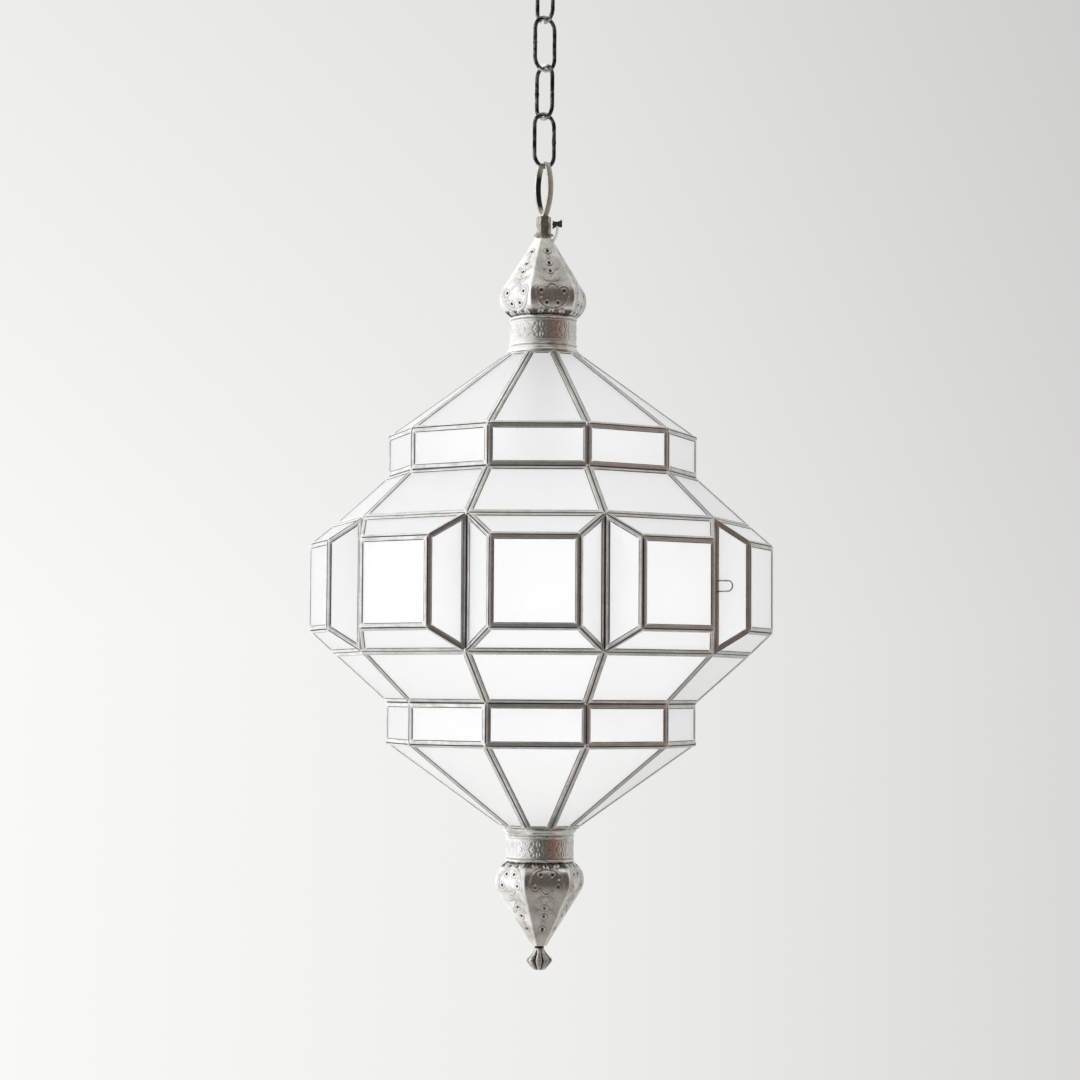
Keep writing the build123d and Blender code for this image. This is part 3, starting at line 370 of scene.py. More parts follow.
def grow(name, tree, finish, source=None, **sizes):
    """Runs a geometry tree once and keeps its result as a plain mesh piece."""
    carrier = bpy.data.objects.new(f"{name}.carrier", source or bpy.data.meshes.new(name))
    shape = carrier.modifiers.new("shape", "NODES")
    shape.node_group = tree
    inputs = [socket for socket in tree.interface.items_tree if socket.in_out == "INPUT"]
    known = {socket.name.replace(" ", "_").lower(): socket.identifier for socket in inputs}
    for label, value in {**sizes, "finish": finish}.items():
        shape[known[label]] = value
    return show(name, settled_mesh(carrier))


# Chain link: a rounded wire loop with its weld, and the wire marked where the next link bears on it
tree, given = shape_tree("welded_link", ["Span", "Width", "Wire Radius", "Direction", "Height"])
inner_width, inner_span = (
    place(tree, "ShaderNodeMath", {0: given["Wire Radius"], 1: -2.0, 2: given[label]}, operation="MULTIPLY_ADD")
    for label in ("Width", "Span")
)
bend = place(tree, "ShaderNodeMath", {0: inner_width, 1: 0.4999}, operation="MULTIPLY")
box = place(tree, "GeometryNodeCurvePrimitiveQuadrilateral", {"Width": inner_width, "Height": inner_span})
loop = place(tree, "GeometryNodeFilletCurve", {"Curve": box, "Radius": bend, "Count": 12}, mode="POLY")
section = place(tree, "GeometryNodeCurvePrimitiveCircle", {"Resolution": 14, "Radius": given["Wire Radius"]})
wire = place(tree, "GeometryNodeCurveToMesh", {"Curve": loop, "Profile Curve": section})
bead_size = place(tree, "ShaderNodeMath", {0: given["Wire Radius"], 1: 1.16}, operation="MULTIPLY")
bead = place(tree, "GeometryNodeMeshUVSphere", {"Segments": 14, "Rings": 9, "Radius": bead_size})
limb = place(tree, "ShaderNodeMath", {0: inner_width, 1: 0.5}, operation="MULTIPLY")
weld_place = place(tree, "ShaderNodeCombineXYZ", {"X": limb})
weld = place(tree, "GeometryNodeTransform", {"Geometry": bead, "Translation": weld_place, "Scale": (1, 1.5, 1)})
joined = place(tree, "GeometryNodeJoinGeometry", {0: [wire, weld]})
along = place(tree, "ShaderNodeSeparateXYZ", {0: place(tree, "GeometryNodeInputPosition")}).outputs["Y"]
far = place(tree, "ShaderNodeMath", {0: along}, operation="ABSOLUTE")
half_span = place(tree, "ShaderNodeMath", {0: given["Span"], 1: 0.5}, operation="MULTIPLY")
from_end = place(tree, "ShaderNodeMath", {0: half_span, 1: far}, operation="SUBTRACT")
rubbing = place(tree, "ShaderNodeMapRange", {"Value": from_end, 1: 2.2 * MM, 2: 4.2 * MM, 3: 0.55, 4: 0.0})
marked = place(tree, "GeometryNodeStoreNamedAttribute", {
    "Geometry": joined, "Name": "worn", "Value": rubbing,
}, data_type="FLOAT", domain="POINT")
quarter = math.pi / 2
turned = place(tree, "ShaderNodeMath", {0: given["Direction"], 1: quarter}, operation="SUBTRACT")
upright = place(tree, "ShaderNodeCombineXYZ", {"X": quarter, "Z": turned})
level = place(tree, "ShaderNodeCombineXYZ", {"Z": given["Height"]})
hung = place(tree, "GeometryNodeTransform", {"Geometry": marked, "Translation": level, "Rotation": upright})
close_tree(tree, given, hung)

for link, middle in LINK_MIDDLES.items():
    piece = grow(
        f"chain_link_{link}_wire", tree, chain_steel, span=LINK_SPAN * MM, width=LINK_WIDTH * MM,
        wire_radius=LINK_WIRE * MM, direction=math.radians(CHAIN_TURN + 90 * link), height=middle * MM,
    )
    seat(piece, f"chain_link_{link}", "dark_steel", f"chain_link_{link}")

# Bent wire: a round section drawn along a path of edges, its two ends rounded over
wire_tree, given = shape_tree("bent_wire", ["Wire Radius"], ["Section Sides"])
path = place(wire_tree, "GeometryNodeMeshToCurve", {"Mesh": given["Geometry"]})
section = place(wire_tree, "GeometryNodeCurvePrimitiveCircle", {
    "Resolution": given["Section Sides"], "Radius": given["Wire Radius"],
})
tube = place(wire_tree, "GeometryNodeCurveToMesh", {"Curve": path, "Profile Curve": section, "Fill Caps": True})
tip = place(wire_tree, "GeometryNodeMeshUVSphere", {
    "Segments": given["Section Sides"], "Rings": 7, "Radius": given["Wire Radius"],
})
ends = place(wire_tree, "GeometryNodeCurveEndpointSelection")
tips = place(wire_tree, "GeometryNodeInstanceOnPoints", {"Points": path, "Selection": ends, "Instance": tip})
close_tree(wire_tree, given, place(wire_tree, "GeometryNodeJoinGeometry", {0: [tube, tips]}))


def bent_wire(name, points, radius, sides, finish):
    """A wire along a path of millimetre points."""
    path = bare_mesh(name, points, [(i, i + 1) for i in range(len(points) - 1)])
    return grow(name, wire_tree, finish, path, wire_radius=radius * MM, section_sides=sides)


def arc(centre, first, second, radius, start, sweep, steps):
    """Points along an arc in the plane of two directions, its angles in degrees."""
    angles = [math.radians(start + sweep * step / steps) for step in range(steps + 1)]
    return [Vector(centre) + radius * (math.cos(a) * first + math.sin(a) * second) for a in angles]


# Ceiling hook: its shank and bend of one wire, its flange, and its plate with eased edges
hook_path = [Vector((0, 0, -5.2)), Vector((0, 0, -9.0))]
hook_path += arc((0, 0, HOOK_CENTRE), around(1, CHAIN_TURN + 90, 0), UP, HOOK_BEND, 90, HOOK_WRAP, 40)
hook_wire = bent_wire("ceiling_hook_wire", hook_path, HOOK_WIRE, 18, blackened_steel)
flange_section = [(0, -3), (5.4, -3), (6, -3.5), (6, -4.4), (5.2, -5), (2.4, -5.2), (0, -5.2)]
hook_flange = turned_body("ceiling_hook_flange", flange_section, blackened_steel, 36)
seat(hook_wire, "ceiling_fitting", "dark_steel", "ceiling_hook")
seat(hook_flange, "ceiling_fitting", "dark_steel", "ceiling_hook")
seat(softened("hook_plate_disc", "hook_plate", blackened_steel, 0.25), "ceiling_fitting", "dark_steel", "hook_plate")

# Eye ring, ferrule and washer, their edges eased as by a file; the ring gets painted shade, dull and dark, where it
# faces its own middle
ring_strap = softened("hanging_ring_strap", "hanging_ring", bright_steel, 0.45, 3)
ring_middle = sum((Vector(corner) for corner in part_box("hanging_ring")), Vector()) / 2
MIDDLE_PULL = Vector((1, 1, 0.35))
turned_in = np.array([
    vertex.normal.dot((ring_middle - vertex.co) * MIDDLE_PULL) / ((ring_middle - vertex.co).length + 1e-6)
    for vertex in ring_strap.data.vertices
])
# Painted shade: the more a point of the strap faces the ring's middle, the darker and duller it is painted
inside_painted_shade = (np.clip((turned_in - 0.25) / 0.3, 0, 1) * 1.4).astype(np.float32)
ring_strap.data.attributes.new("inside", "FLOAT", "POINT").data.foreach_set("value", inside_painted_shade)
seat(ring_strap, "lantern", "bright_steel", "hanging_ring")
for label, node, width in (("ring_ferrule_hexagon", "ring_ferrule", 0.35), ("crown_washer_disc", "crown_washer", 0.3)):
    seat(softened(label, node, plated_steel, width), "lantern", "plated_steel", node)

# Corners of one tenth of the glass body, from the middle of the band up
HALF_STEP = 180 / SIDES
BAY_REACH = BAND * math.cos(math.radians(HALF_STEP)) + BAY_DEPTH


def pair(radius, height):
    """The left and right corners of a course at a height from the middle of the band."""
    return [around(radius, side * HALF_STEP, BAND_CENTRE + height) for side in (-1, 1)]


def bay_pair(height):
    """The left and right corners of a bay's front pane."""
    return [Vector((side * BAY_WIDTH / 2, -BAY_REACH, BAND_CENTRE + height)) for side in (-1, 1)]


def front_panes():
    """Every pane of the front tenth by name, its corners anticlockwise as seen from outside."""
    shoulder_top = HALF_BAND + SHOULDER
    rim_low, rim_high = pair(RIM, shoulder_top), pair(RIM, shoulder_top + RIM_STEP)
    neck = pair(NECK, shoulder_top + RIM_STEP + CONE)
    band_high, band_low = pair(BAND, HALF_BAND), pair(BAND, -HALF_BAND)
    high, low = bay_pair(BAY_HEIGHT / 2), bay_pair(-BAY_HEIGHT / 2)
    panes = {
        "upper_cone": [*rim_high, *neck[::-1]],
        "upper_rim": [*rim_low, *rim_high[::-1]],
        "upper_shoulder": [*band_high, *rim_low[::-1]],
        "bay_top": [*high, *band_high[::-1]],
        "bay_front": [*low, *high[::-1]],
        "bay_left": [band_low[0], low[0], high[0], band_high[0]],
        "bay_right": [low[1], band_low[1], band_high[1], high[1]],
        "bay_bottom": [*band_low, *low[::-1]],
    }
    for course in ("cone", "rim", "shoulder"):
        above = panes[f"upper_{course}"]
        panes[f"lower_{course}"] = [Vector((p.x, p.y, 2 * BAND_CENTRE - p.z)) for p in reversed(above)]
    return panes


def sides_of(corners):
    """The start and end of each side of an outline."""
    return list(zip(corners, corners[1:] + corners[:1]))


def facing(corners):
    """A pane's outward normal."""
    return (corners[1] - corners[0]).cross(corners[2] - corners[1]).normalized()


def turned_by(corners, steps):
    """Corners turned about the lantern's axis by a number of its sides."""
    spin = Matrix.Rotation(2 * math.pi * steps / SIDES, 3, "Z")
    return [spin @ p for p in corners]


PANES = front_panes()
BAY_PANES = [name for name in PANES if name.startswith("bay")]
COURSES = [name for name in PANES if not name.startswith("bay")]
NEIGHBOURS = [turned_by(corners, steps) for corners in PANES.values() for steps in (-1, 0, 1)]


def pane_across(start, end):
    """The pane that shares an edge, or None at an open end."""
    for corners in NEIGHBOURS:
        for other_start, other_end in sides_of(corners):
            if (other_start - end).length < 0.001 and (other_end - start).length < 0.001:
                return corners
    return None


def inset_corners(corners, distances, depth):
    """A pane's outline with each side moved in by its own distance, at a depth below its outer face."""
    normal = facing(corners)
    lines = []
    for (start, end), distance in zip(sides_of(corners), distances):
        along = (end - start).normalized()
        lines.append((start + normal.cross(along) * distance, along))
    points = []
    for (point, along), (previous, before) in zip(lines, [lines[-1]] + lines[:-1]):
        shift = (point - previous).cross(along).dot(normal) / before.cross(along).dot(normal)
        points.append(previous + before * shift - normal * depth)
    return points


def mitre_insets(corners, gap):
    """How far each side stands in at the came's inner face, on the mitre with its neighbour."""
    normal = facing(corners)
    own_bay = [PANES[name] for name in BAY_PANES]
    insets = []
    for start, end in sides_of(corners):
        outwards = (end - start).normalized().cross(normal)
        neighbour = pane_across(start, end)
        if neighbour is None:
            insets.append(-CAME_DEPTH * normal.z / outwards.z)
            continue
        mitre = normal + facing(neighbour)
        insets.append(CAME_DEPTH * mitre.dot(outwards) / mitre.dot(normal) + (0 if neighbour in own_bay else gap))
    return insets


CAME_EASE = 0.22
CEMENT = 0.5
JOINT_REACH = 3.2


def came_rings(name, gap):
    """The loops round one pane that its folded came runs through, each with how much black cement and painted shade
    lies on it.

    They go from the foot of its wall up and over the outside, down to the lip, along a fillet of cement on the
    glass, round the pocket that holds the pane, and back to the inner lip.
    """
    corners = PANES[name]
    inner = mitre_insets(corners, gap)
    outer = [SEAM if pane_across(start, end) else 0.0 for start, end in sides_of(corners)]

    def wall(depth):
        return [o + (i - o) * depth / CAME_DEPTH for o, i in zip(outer, inner)]

    def window(past_lip):
        return [CAME_FACE + past_lip] * len(corners)

    back = CAME_DEPTH - CAME_LIP
    pocket = [CAME_WALL + max(near, far) for near, far in zip(wall(CAME_LIP), wall(back))]
    # Each loop's last number darkens the came: painted shade deepening down the wall into the seam between cames, and
    # black cement at the lip, made darker as a painted shadow line along the glass
    loops = [
        (wall(CAME_DEPTH), CAME_DEPTH, 0.9), (wall(CAME_EASE), CAME_EASE, 0.6),
        ([o + CAME_EASE * 0.35 for o in outer], CAME_EASE * 0.35, 0.2), ([o + CAME_EASE for o in outer], 0.0, 0.0),
        (window(-1.3), 0.0, 0.0), (window(-0.45), 0.05, 0.0), (window(-0.12), 0.16, 0.0), (window(0), 0.3, 0.0),
        (window(0.03), 0.31, 1.2), (window(CEMENT), CAME_LIP, 1.2), (pocket, CAME_LIP, 1.0),
        (pocket, back, 1.0), (window(0), back, 0.0), (window(0), CAME_DEPTH, 0.0),
    ]
    return [(inset_corners(corners, distances, depth), cement) for distances, depth, cement in loops]


def came_mesh(label, members, gap):
    """The cames of the named panes, each at its step round the axis, as one mesh.

    It carries the cement with its painted shade and the soldered ends as attributes, and a UV map in millimetres along
    each strip.
    """
    points, faces, strip, solder, cement = [], [], [], [], []
    for name, steps in members:
        rings = came_rings(name, gap)
        loops = [turned_by(loop, steps) for loop, _ in rings]
        for ends in zip(*(sides_of(loop) for loop in loops)):
            length = min((b - a).length for a, b in ends)
            cut = min(JOINT_REACH / length, 0.3)
            cuts = [0.0, cut * 0.45, cut, 0.5, 1 - cut, 1 - cut * 0.45, 1.0]
            across = [0.0]
            for (a, b), (c, d) in zip(ends, ends[1:] + ends[:1]):
                across.append(across[-1] + ((c + d) / 2 - (a + b) / 2).length)
            base, count = len(points), len(ends)
            for share, joint in zip(cuts, (0.8, 0.45, 0.0, 0.0, 0.0, 0.45, 0.8)):
                points += [a.lerp(b, share) for a, b in ends]
                solder += [joint] * count
                cement += [value for _, value in rings]
            faces += [tuple(base + corner for corner in face) for face in grid_faces(len(cuts), count)]
            for low, high in zip(cuts, cuts[1:]):
                u, v = low * length + base, high * length + base
                for near, far in zip(across, across[1:]):
                    strip += [(u, near), (u, far), (v, far), (v, near)]
    mesh = make_mesh(label, points, faces, tinned_came, smooth=False, solder=solder, cement=cement)
    mesh.uv_layers.new(name="strip").data.foreach_set("uv", np.asarray(strip, np.float32).ravel() * MM)
    return mesh


# One tree repeats a piece round the lantern's axis: the cames of a course, and the plate's screws
round_tree, given = shape_tree("set_round_the_axis", ["Step Turn"], ["Repeats"])
line = place(round_tree, "GeometryNodeMeshLine", {"Count": given["Repeats"], "Offset": (0, 0, 0)})
number = place(round_tree, "GeometryNodeInputIndex")
turn = place(round_tree, "ShaderNodeMath", {0: number, 1: given["Step Turn"]}, operation="MULTIPLY")
spin = place(round_tree, "ShaderNodeCombineXYZ", {"Z": turn})
close_tree(round_tree, given, place(round_tree, "GeometryNodeInstanceOnPoints", {
    "Points": line, "Instance": given["Geometry"], "Rotation": spin,
}))


def set_round(name, mesh, finish, repeats, crisp_angle=35):
    """A mesh repeated evenly round the lantern's axis."""
    return tidy(grow(name, round_tree, finish, mesh, repeats=repeats, step_turn=2 * math.pi / repeats), crisp_angle)


# Cames: each course from the top down, then each bay
CAME_CRISP = 50
for course in COURSES[:3] + COURSES[:2:-1]:
    tenth = came_mesh(f"{course}_tenth", [(course, 0)], 0)
    piece = set_round(f"{course}_folded_cames", tenth, tinned_came, SIDES, CAME_CRISP)
    seat(piece, "lantern", "tinned_came", f"{course}_cames")
for bay in range(SIDES):
    body, start, gap = ("door", "door", DOOR_GAP) if bay == DOOR_BAY else ("lantern", f"bay_{bay + 1:02d}", 0)
    label = f"{start}_folded_cames"
    piece = show(label, came_mesh(label, [(name, bay) for name in BAY_PANES], gap))
    seat(tidy(piece, CAME_CRISP), body, "tinned_came", f"{start}_cames")

CROSS_HALF_WIDTH, CROSS_REACH, CROSS_DEPTH = 0.5, 2.1, 1.0


def countersunk_screw():
    """A screw head with a cross recess, and the start of its shank, at the plate's screw circle in +X."""
    spokes = 64
    rows = [(r, PLATE_BOTTOM) for r in np.linspace(0.15, 4.0, 24)]
    rows += [(4.15, PLATE_BOTTOM + 0.15), (2.1, -0.85), (2.0, -0.2)]
    points = []
    for radius, height in rows:
        for spoke in range(spokes):
            turn = 2 * math.pi * spoke / spokes
            x, y = radius * math.cos(turn), radius * math.sin(turn)
            near, far = sorted((abs(x), abs(y)))
            sunk = height == PLATE_BOTTOM and near < CROSS_HALF_WIDTH and far < CROSS_REACH
            points.append((PLATE_SCREW_CIRCLE + x, y, height + CROSS_DEPTH * sunk))
    return bare_mesh("countersunk_screw", points, faces=grid_faces(len(rows), spokes, capped=True))


# Plate screws: countersunk heads, flush with the plate's face
seat(set_round("plate_screws", countersunk_screw(), plated_steel, 3), "ceiling_fitting", "plated_steel")


def smooth(value, low, high):
    """Nought below a low value, one above a high one, and a soft step between."""
    share = np.clip((value - low) / (high - low), 0, 1)
    return share * share * (3 - 2 * share)


def arc_line(x, y, centre, radius, half_width, start=0, end=360):
    """Distance to the edge of a raised line along an arc, its angles in degrees; negative on the line."""
    away_x, away_y = x - centre[0], y - centre[1]
    distance = np.abs(np.hypot(away_x, away_y) - radius)
    if end - start < 360:
        middle, half = math.radians((start + end) / 2), math.radians((end - start) / 2)
        beyond = np.abs((np.arctan2(away_y, away_x) - middle + math.pi) % (2 * math.pi) - math.pi) - half
        distance = np.hypot(distance, np.clip(beyond, 0, None) * radius)
    return distance - half_width


def leaf(x, y, start, end, half_width):
    """Distance to the edge of a raised leaf with a groove for its vein; negative on the leaf."""
    run_x, run_y = end[0] - start[0], end[1] - start[1]
    length = math.hypot(run_x, run_y)
    along = ((x - start[0]) * run_x + (y - start[1]) * run_y) / length
    across = np.abs((x - start[0]) * run_y - (y - start[1]) * run_x) / length
    width = half_width * np.sin(np.pi * np.clip(along / length, 0, 1)) ** 0.8
    outside = np.maximum(across - width, np.maximum(-along, along - length))
    return np.maximum(outside, np.where(along < 0.8 * length, 0.3 - across, -1.0))


def stamped(distance, height):
    """A stamping's rise, and how deep the wash lies along the foot of its edges, from the distance to them."""
    line = smooth(distance, -0.3, 0.35) * (1 - smooth(distance, 0.5, 1.6))
    near = 1 - smooth(distance, 0.8, 4.0)
    return height * (1 - smooth(distance, -0.6, 0.4)), 0.36 * line + 0.16 * near


def spread_along(start, *parts):
    """A grid of points: a start, and grids of lengths each along a direction of its own."""
    return sum((np.multiply.outer(lengths, direction) for lengths, direction in parts), np.array(start))


# Onion dome: each facet unrolls to a flat strip, measured across and along from its foot
ARC_RADIUS, ARC_REACH, ARC_HEIGHT, TAPER, DOME_HEIGHT = 16.5, 13.2, 14.1, math.radians(28.9), 63.2
FOOT_TURN = -math.asin(ARC_HEIGHT / ARC_RADIUS)
ARC_LENGTH = ARC_RADIUS * (TAPER - FOOT_TURN)
ARC_TOP = ARC_HEIGHT + ARC_RADIUS * math.sin(TAPER)
TAPER_LENGTH = (DOME_HEIGHT - ARC_TOP) / math.cos(TAPER)
FACET_SLOPE = math.tan(math.radians(30))
PIERCING = 1.1
DOME_ROWS, DOME_COLUMNS = 120, 52
DOME_RELIEF, COLLAR_RELIEF, DOME_SKIN = 0.5, 0.34, 0.7


def unrolled(height):
    """How far along a facet a height lies."""
    if height < ARC_TOP:
        return ARC_RADIUS * (math.asin((height - ARC_HEIGHT) / ARC_RADIUS) - FOOT_TURN)
    return ARC_LENGTH + (height - ARC_TOP) / math.cos(TAPER)


PIERCINGS = [(0, unrolled(h)) for h in (33.4, 40.1, 49.9)]
PIERCINGS += [(side * reach, unrolled(h)) for reach, h in ((8.8, 17.2), (4.3, 8.7)) for side in (-1, 1)]


def facet_profile(along):
    """Reach, height, and the outward normal's two parts, along a facet."""
    turn = FOOT_TURN + np.clip(along, 0, ARC_LENGTH) / ARC_RADIUS
    beyond = np.clip(along - ARC_LENGTH, 0, None)
    reach = ARC_REACH + ARC_RADIUS * np.cos(turn) - beyond * math.sin(TAPER)
    height = ARC_HEIGHT + ARC_RADIUS * np.sin(turn) + beyond * math.cos(TAPER)
    return reach, height, np.cos(turn), np.sin(turn)


def facet_ornament(x, y):
    """The stamping of one facet: ringed holes in a lobed cartouche, with buds and leaves up the taper."""
    marks = [arc_line(x, y, hole, 2.0, 0.42) for hole in PIERCINGS]
    marks += [
        arc_line(x, y, (0, 19.2), 13.0, 0.55, 182, 358), arc_line(x, y, (0, 22.0), 4.6, 0.5, 20, 160),
        leaf(x, y, (0, 27.6), (0, 34.2), 1.6), leaf(x, y, (0, 49.8), (0, 53.4), 0.9),
    ]
    for side in (-1, 1):
        marks += [
            arc_line(x, y, (side * 8.9, 19.6), 4.6, 0.5, 66 - 64 * side, 216 - 64 * side),
            leaf(x, y, (side * 1.6, 28.6), (side * 6.2, 32.6), 1.4),
            leaf(x, y, (side * 2.6, 39.4), (side * 6.6, 42.6), 1.1),
            leaf(x, y, (side * 4.0, 0.2), (side * 4.0, 3.8), 1.2),
        ]
    marks += [leaf(x, y, (step * 8.0, 0.2), (step * 8.0, 6.6), 2.5) for step in (-1, 0, 1)]
    return np.minimum.reduce(marks)


def stamped_dome(name, foot, up, turn, crown_reach, node, lead_hole=(0, None, 0)):
    """A six-sided pierced dome: its facets' grids with round holes cut and the stamping raised, then a skin.

    lead_hole has the direction the lead leaves in, the place of its hole on that facet, and the hole's radius.
    """
    points, faces, washes = [], [], []
    columns = np.linspace(-1, 1, DOME_COLUMNS + 1)
    width = len(columns)
    for direction in range(30, 390, 60):
        outwards = around(1, turn + direction, 0)
        across = up.cross(outwards)
        y = np.repeat(np.linspace(0, ARC_LENGTH + TAPER_LENGTH, DOME_ROWS + 1)[:, None], width, 1)
        x = columns * facet_profile(y)[0] * FACET_SLOPE
        has_lead = lead_hole[1] and abs((turn + direction - lead_hole[0] + 180) % 360 - 180) < 30
        kept = np.ones((DOME_ROWS + 1, DOME_COLUMNS), bool)
        middle_x = (x[:-1, :-1] + x[1:, 1:] + x[:-1, 1:] + x[1:, :-1]) / 4
        middle_y = (y[:-1, :-1] + y[1:, 1:]) / 2
        for (hole_x, hole_y), radius in [(c, PIERCING) for c in PIERCINGS] + [lead_hole[1:]] * bool(has_lead):
            inside = np.hypot(middle_x - hole_x, middle_y - hole_y) < radius
            kept[:-1] &= ~inside
            touched = np.zeros(x.shape, bool)
            for i, j in ((0, 0), (0, 1), (1, 0), (1, 1)):
                touched[i:i + DOME_ROWS, j:j + DOME_COLUMNS] |= inside
            away_x, away_y = x[touched] - hole_x, y[touched] - hole_y
            stretch = radius / np.maximum(np.hypot(away_x, away_y), 0.001)
            x[touched], y[touched] = hole_x + away_x * stretch, hole_y + away_y * stretch
        reach, height, out_part, up_part = facet_profile(y)
        from_arris = reach * FACET_SLOPE - np.abs(x)
        distance = facet_ornament(x, y)
        rise, wash = stamped(distance, DOME_RELIEF)
        level = smooth(from_arris, 0.5, 1.6)
        foot_gaps = smooth(distance, -0.3, 0.3) * (1 - smooth(y, 4.0, 8.0))
        wash = np.maximum(wash * level, np.maximum(foot_gaps, 1.1 * (1 - smooth(y, 0.0, 1.8))))
        rounding = np.clip(1 - from_arris / 0.9, 0, 1)
        lean = rounding * 0.5 * np.sign(x)
        sideways = np.multiply.outer(np.sqrt(1 - lean ** 2), outwards) + np.multiply.outer(lean, across)
        normal = sideways * out_part[..., None] + np.multiply.outer(up_part, up)
        spot = spread_along(foot, (reach, outwards), (x, across), (height, up))
        base = len(points)
        points += (spot + normal * (rise * level - 0.23 * rounding ** 2)[..., None]).reshape(-1, 3).tolist()
        crown = foot + outwards * crown_reach + up * DOME_HEIGHT
        points += [crown + across * s * crown_reach * FACET_SLOPE for s in columns]
        washes += wash.ravel().tolist() + [0.6] * width
        grid = grid_faces(DOME_ROWS + 2, width, around_it=False)
        faces += [tuple(base + corner for corner in face) for face, keep in zip(grid, kept.ravel()) if keep]
    piece = tidy(show(name, make_mesh(name, points, faces, antique_tin, recess=washes)), 40)
    skin = piece.modifiers.new("skin", "SOLIDIFY")
    skin.thickness, skin.offset = DOME_SKIN * MM, -1
    seat(piece, "lantern", "antique_tin", node)


LEAD_DIRECTION = 78
lead_hole = (LEAD_DIRECTION, (0.31, unrolled(59.1)), 1.6)
stamped_dome("top_dome_stamping", Vector((0, 0, DOME_BASE)), UP, -14.5, 3.4, "top_dome", lead_hole)
stamped_dome("lower_finial_stamping", Vector((0, 0, FINIAL_BASE)), DOWN, -18.0, 2.3, "lower_finial")

COLLAR, COLLAR_FOOT, COLLAR_WALL, COLLAR_BEAD = 25.2, 27.8, 1.0, 0.8
COLLAR_STEPS, COLLAR_MOTIFS = 320, 8


def collar_ornament(x, y, low, high):
    """The stamped band: four-lobed flowers with a leaf pair between them, and a fine line at each edge."""
    pitch = 2 * math.pi * COLLAR / COLLAR_MOTIFS
    x, y = np.broadcast_arrays((x + pitch / 2) % pitch - pitch / 2, y)
    middle = (low + high) / 2
    marks = [np.abs(y - low - 1.2) - 0.35, np.abs(y - high + 1.2) - 0.35, np.hypot(x, y - middle) - 0.9]
    for side in (-1, 1):
        marks += [
            leaf(x, y, (0, middle + side * 1.6), (0, middle + side * 6.2), 2.0),
            leaf(x, y, (side * 1.6, middle), (side * 6.4, middle), 1.9),
        ]
        for tip in (-1, 1):
            marks += [
                leaf(x, y, (side * pitch / 2, middle), (side * (pitch / 2 - 3.2), middle + tip * 5.4), 1.4),
                arc_line(x, y, (side * 4.9, middle + tip * 4.2), 1.7, 0.4),
            ]
    return np.minimum.reduce(marks)


def rolled_collar(name, neck, up, height, node):
    """A collar rolled from tin: a flared foot, two beads, a stamped band and a flange turned in at the dome."""
    low, high = 7.4, height - 2.4
    bead = [(COLLAR + COLLAR_BEAD * math.sin(math.pi * t), t * 2.4) for t in np.linspace(0, 1, 9)][1:]
    section = [
        (COLLAR_FOOT - (COLLAR_FOOT - COLLAR) * float(smooth(np.float64(v), 0.6, 4.9)), v)
        for v in np.linspace(0, 5, 11)
    ]
    section += [(r, 5 + v) for r, v in bead] + [(COLLAR, v) for v in np.linspace(low, high, 30)][1:]
    section += [(r, high + v) for r, v in bead] + [(20.0, height), (20.0, height - COLLAR_WALL)]
    section += [(COLLAR - COLLAR_WALL, height - COLLAR_WALL), (COLLAR - COLLAR_WALL, 0)]
    radius, level = (np.array(part)[:, None] for part in zip(*section))
    turns = np.linspace(0, 2 * math.pi, COLLAR_STEPS, endpoint=False)[None, :]
    rise, wash = stamped(collar_ornament(turns * COLLAR, level, low, high), COLLAR_RELIEF)
    on_band = (np.abs(radius - COLLAR) < 0.001) & (level > low) & (level < high)
    near_bead = np.clip(1 - np.minimum(np.abs(level - 4.9), np.abs(level - high)) / 1.2, 0, 1)
    wash = np.where(on_band, 0.7 * wash, 0) + 0.55 * near_bead
    radius = radius + np.where(on_band, rise, 0)
    first = Vector((1, 0, 0))
    points = spread_along(
        neck, (radius * np.cos(turns), first), (radius * np.sin(turns), up.cross(first)), (level + 0 * turns, up),
    ).reshape(-1, 3).tolist()
    faces = grid_faces(len(section), COLLAR_STEPS, looped=True)
    piece = tidy(show(name, make_mesh(name, points, faces, antique_tin, recess=wash.ravel())), 40)
    seat(piece, "lantern", "antique_tin", node)


rolled_collar("upper_collar_rolled", Vector((0, 0, UPPER_NECK)), UP, 27.4, "upper_collar")
rolled_collar("lower_collar_rolled", Vector((0, 0, LOWER_NECK)), DOWN, 25.0, "lower_collar")

# Fluted knob: eight rounded lobes with sharp grooves between them, on a short neck, and a threaded stud
KNOB_STEPS, FLUTES, FLUTE_DEPTH = 128, 8, 0.26
STUD_TOP = FINIAL_TIP + 9.0
stud = [(0.02, STUD_TOP)] + [(2.0 - 0.25 * (turn % 2), STUD_TOP - 0.35 * turn) for turn in range(26)]
neck = [(3.6, FINIAL_TIP), (3.6, FINIAL_TIP - 0.6), (3.2, FINIAL_TIP - 1.0), (3.6, FINIAL_TIP - 1.5)]
swell = [
    (3.6, 0), (4.0, 1.0), (4.8, 2.4), (5.9, 3.8), (7.2, 5.2), (8.5, 6.6), (9.5, 7.7), (10.0, 8.6), (9.8, 9.2),
    (9.1, 10.4), (8.0, 11.8), (6.8, 13.2), (5.6, 14.5), (4.8, 15.4), (4.0, 15.9), (2.6, 16.0), (0.02, 15.7),
]
knob_rows = [(r, z, 0.0) for r, z in stud + neck]
knob_rows += [(r, FINIAL_TIP - 2.0 - z, min(1.0, (r - 3.4) / 2)) for r, z in swell]
knob_points, knob_wash = [], []
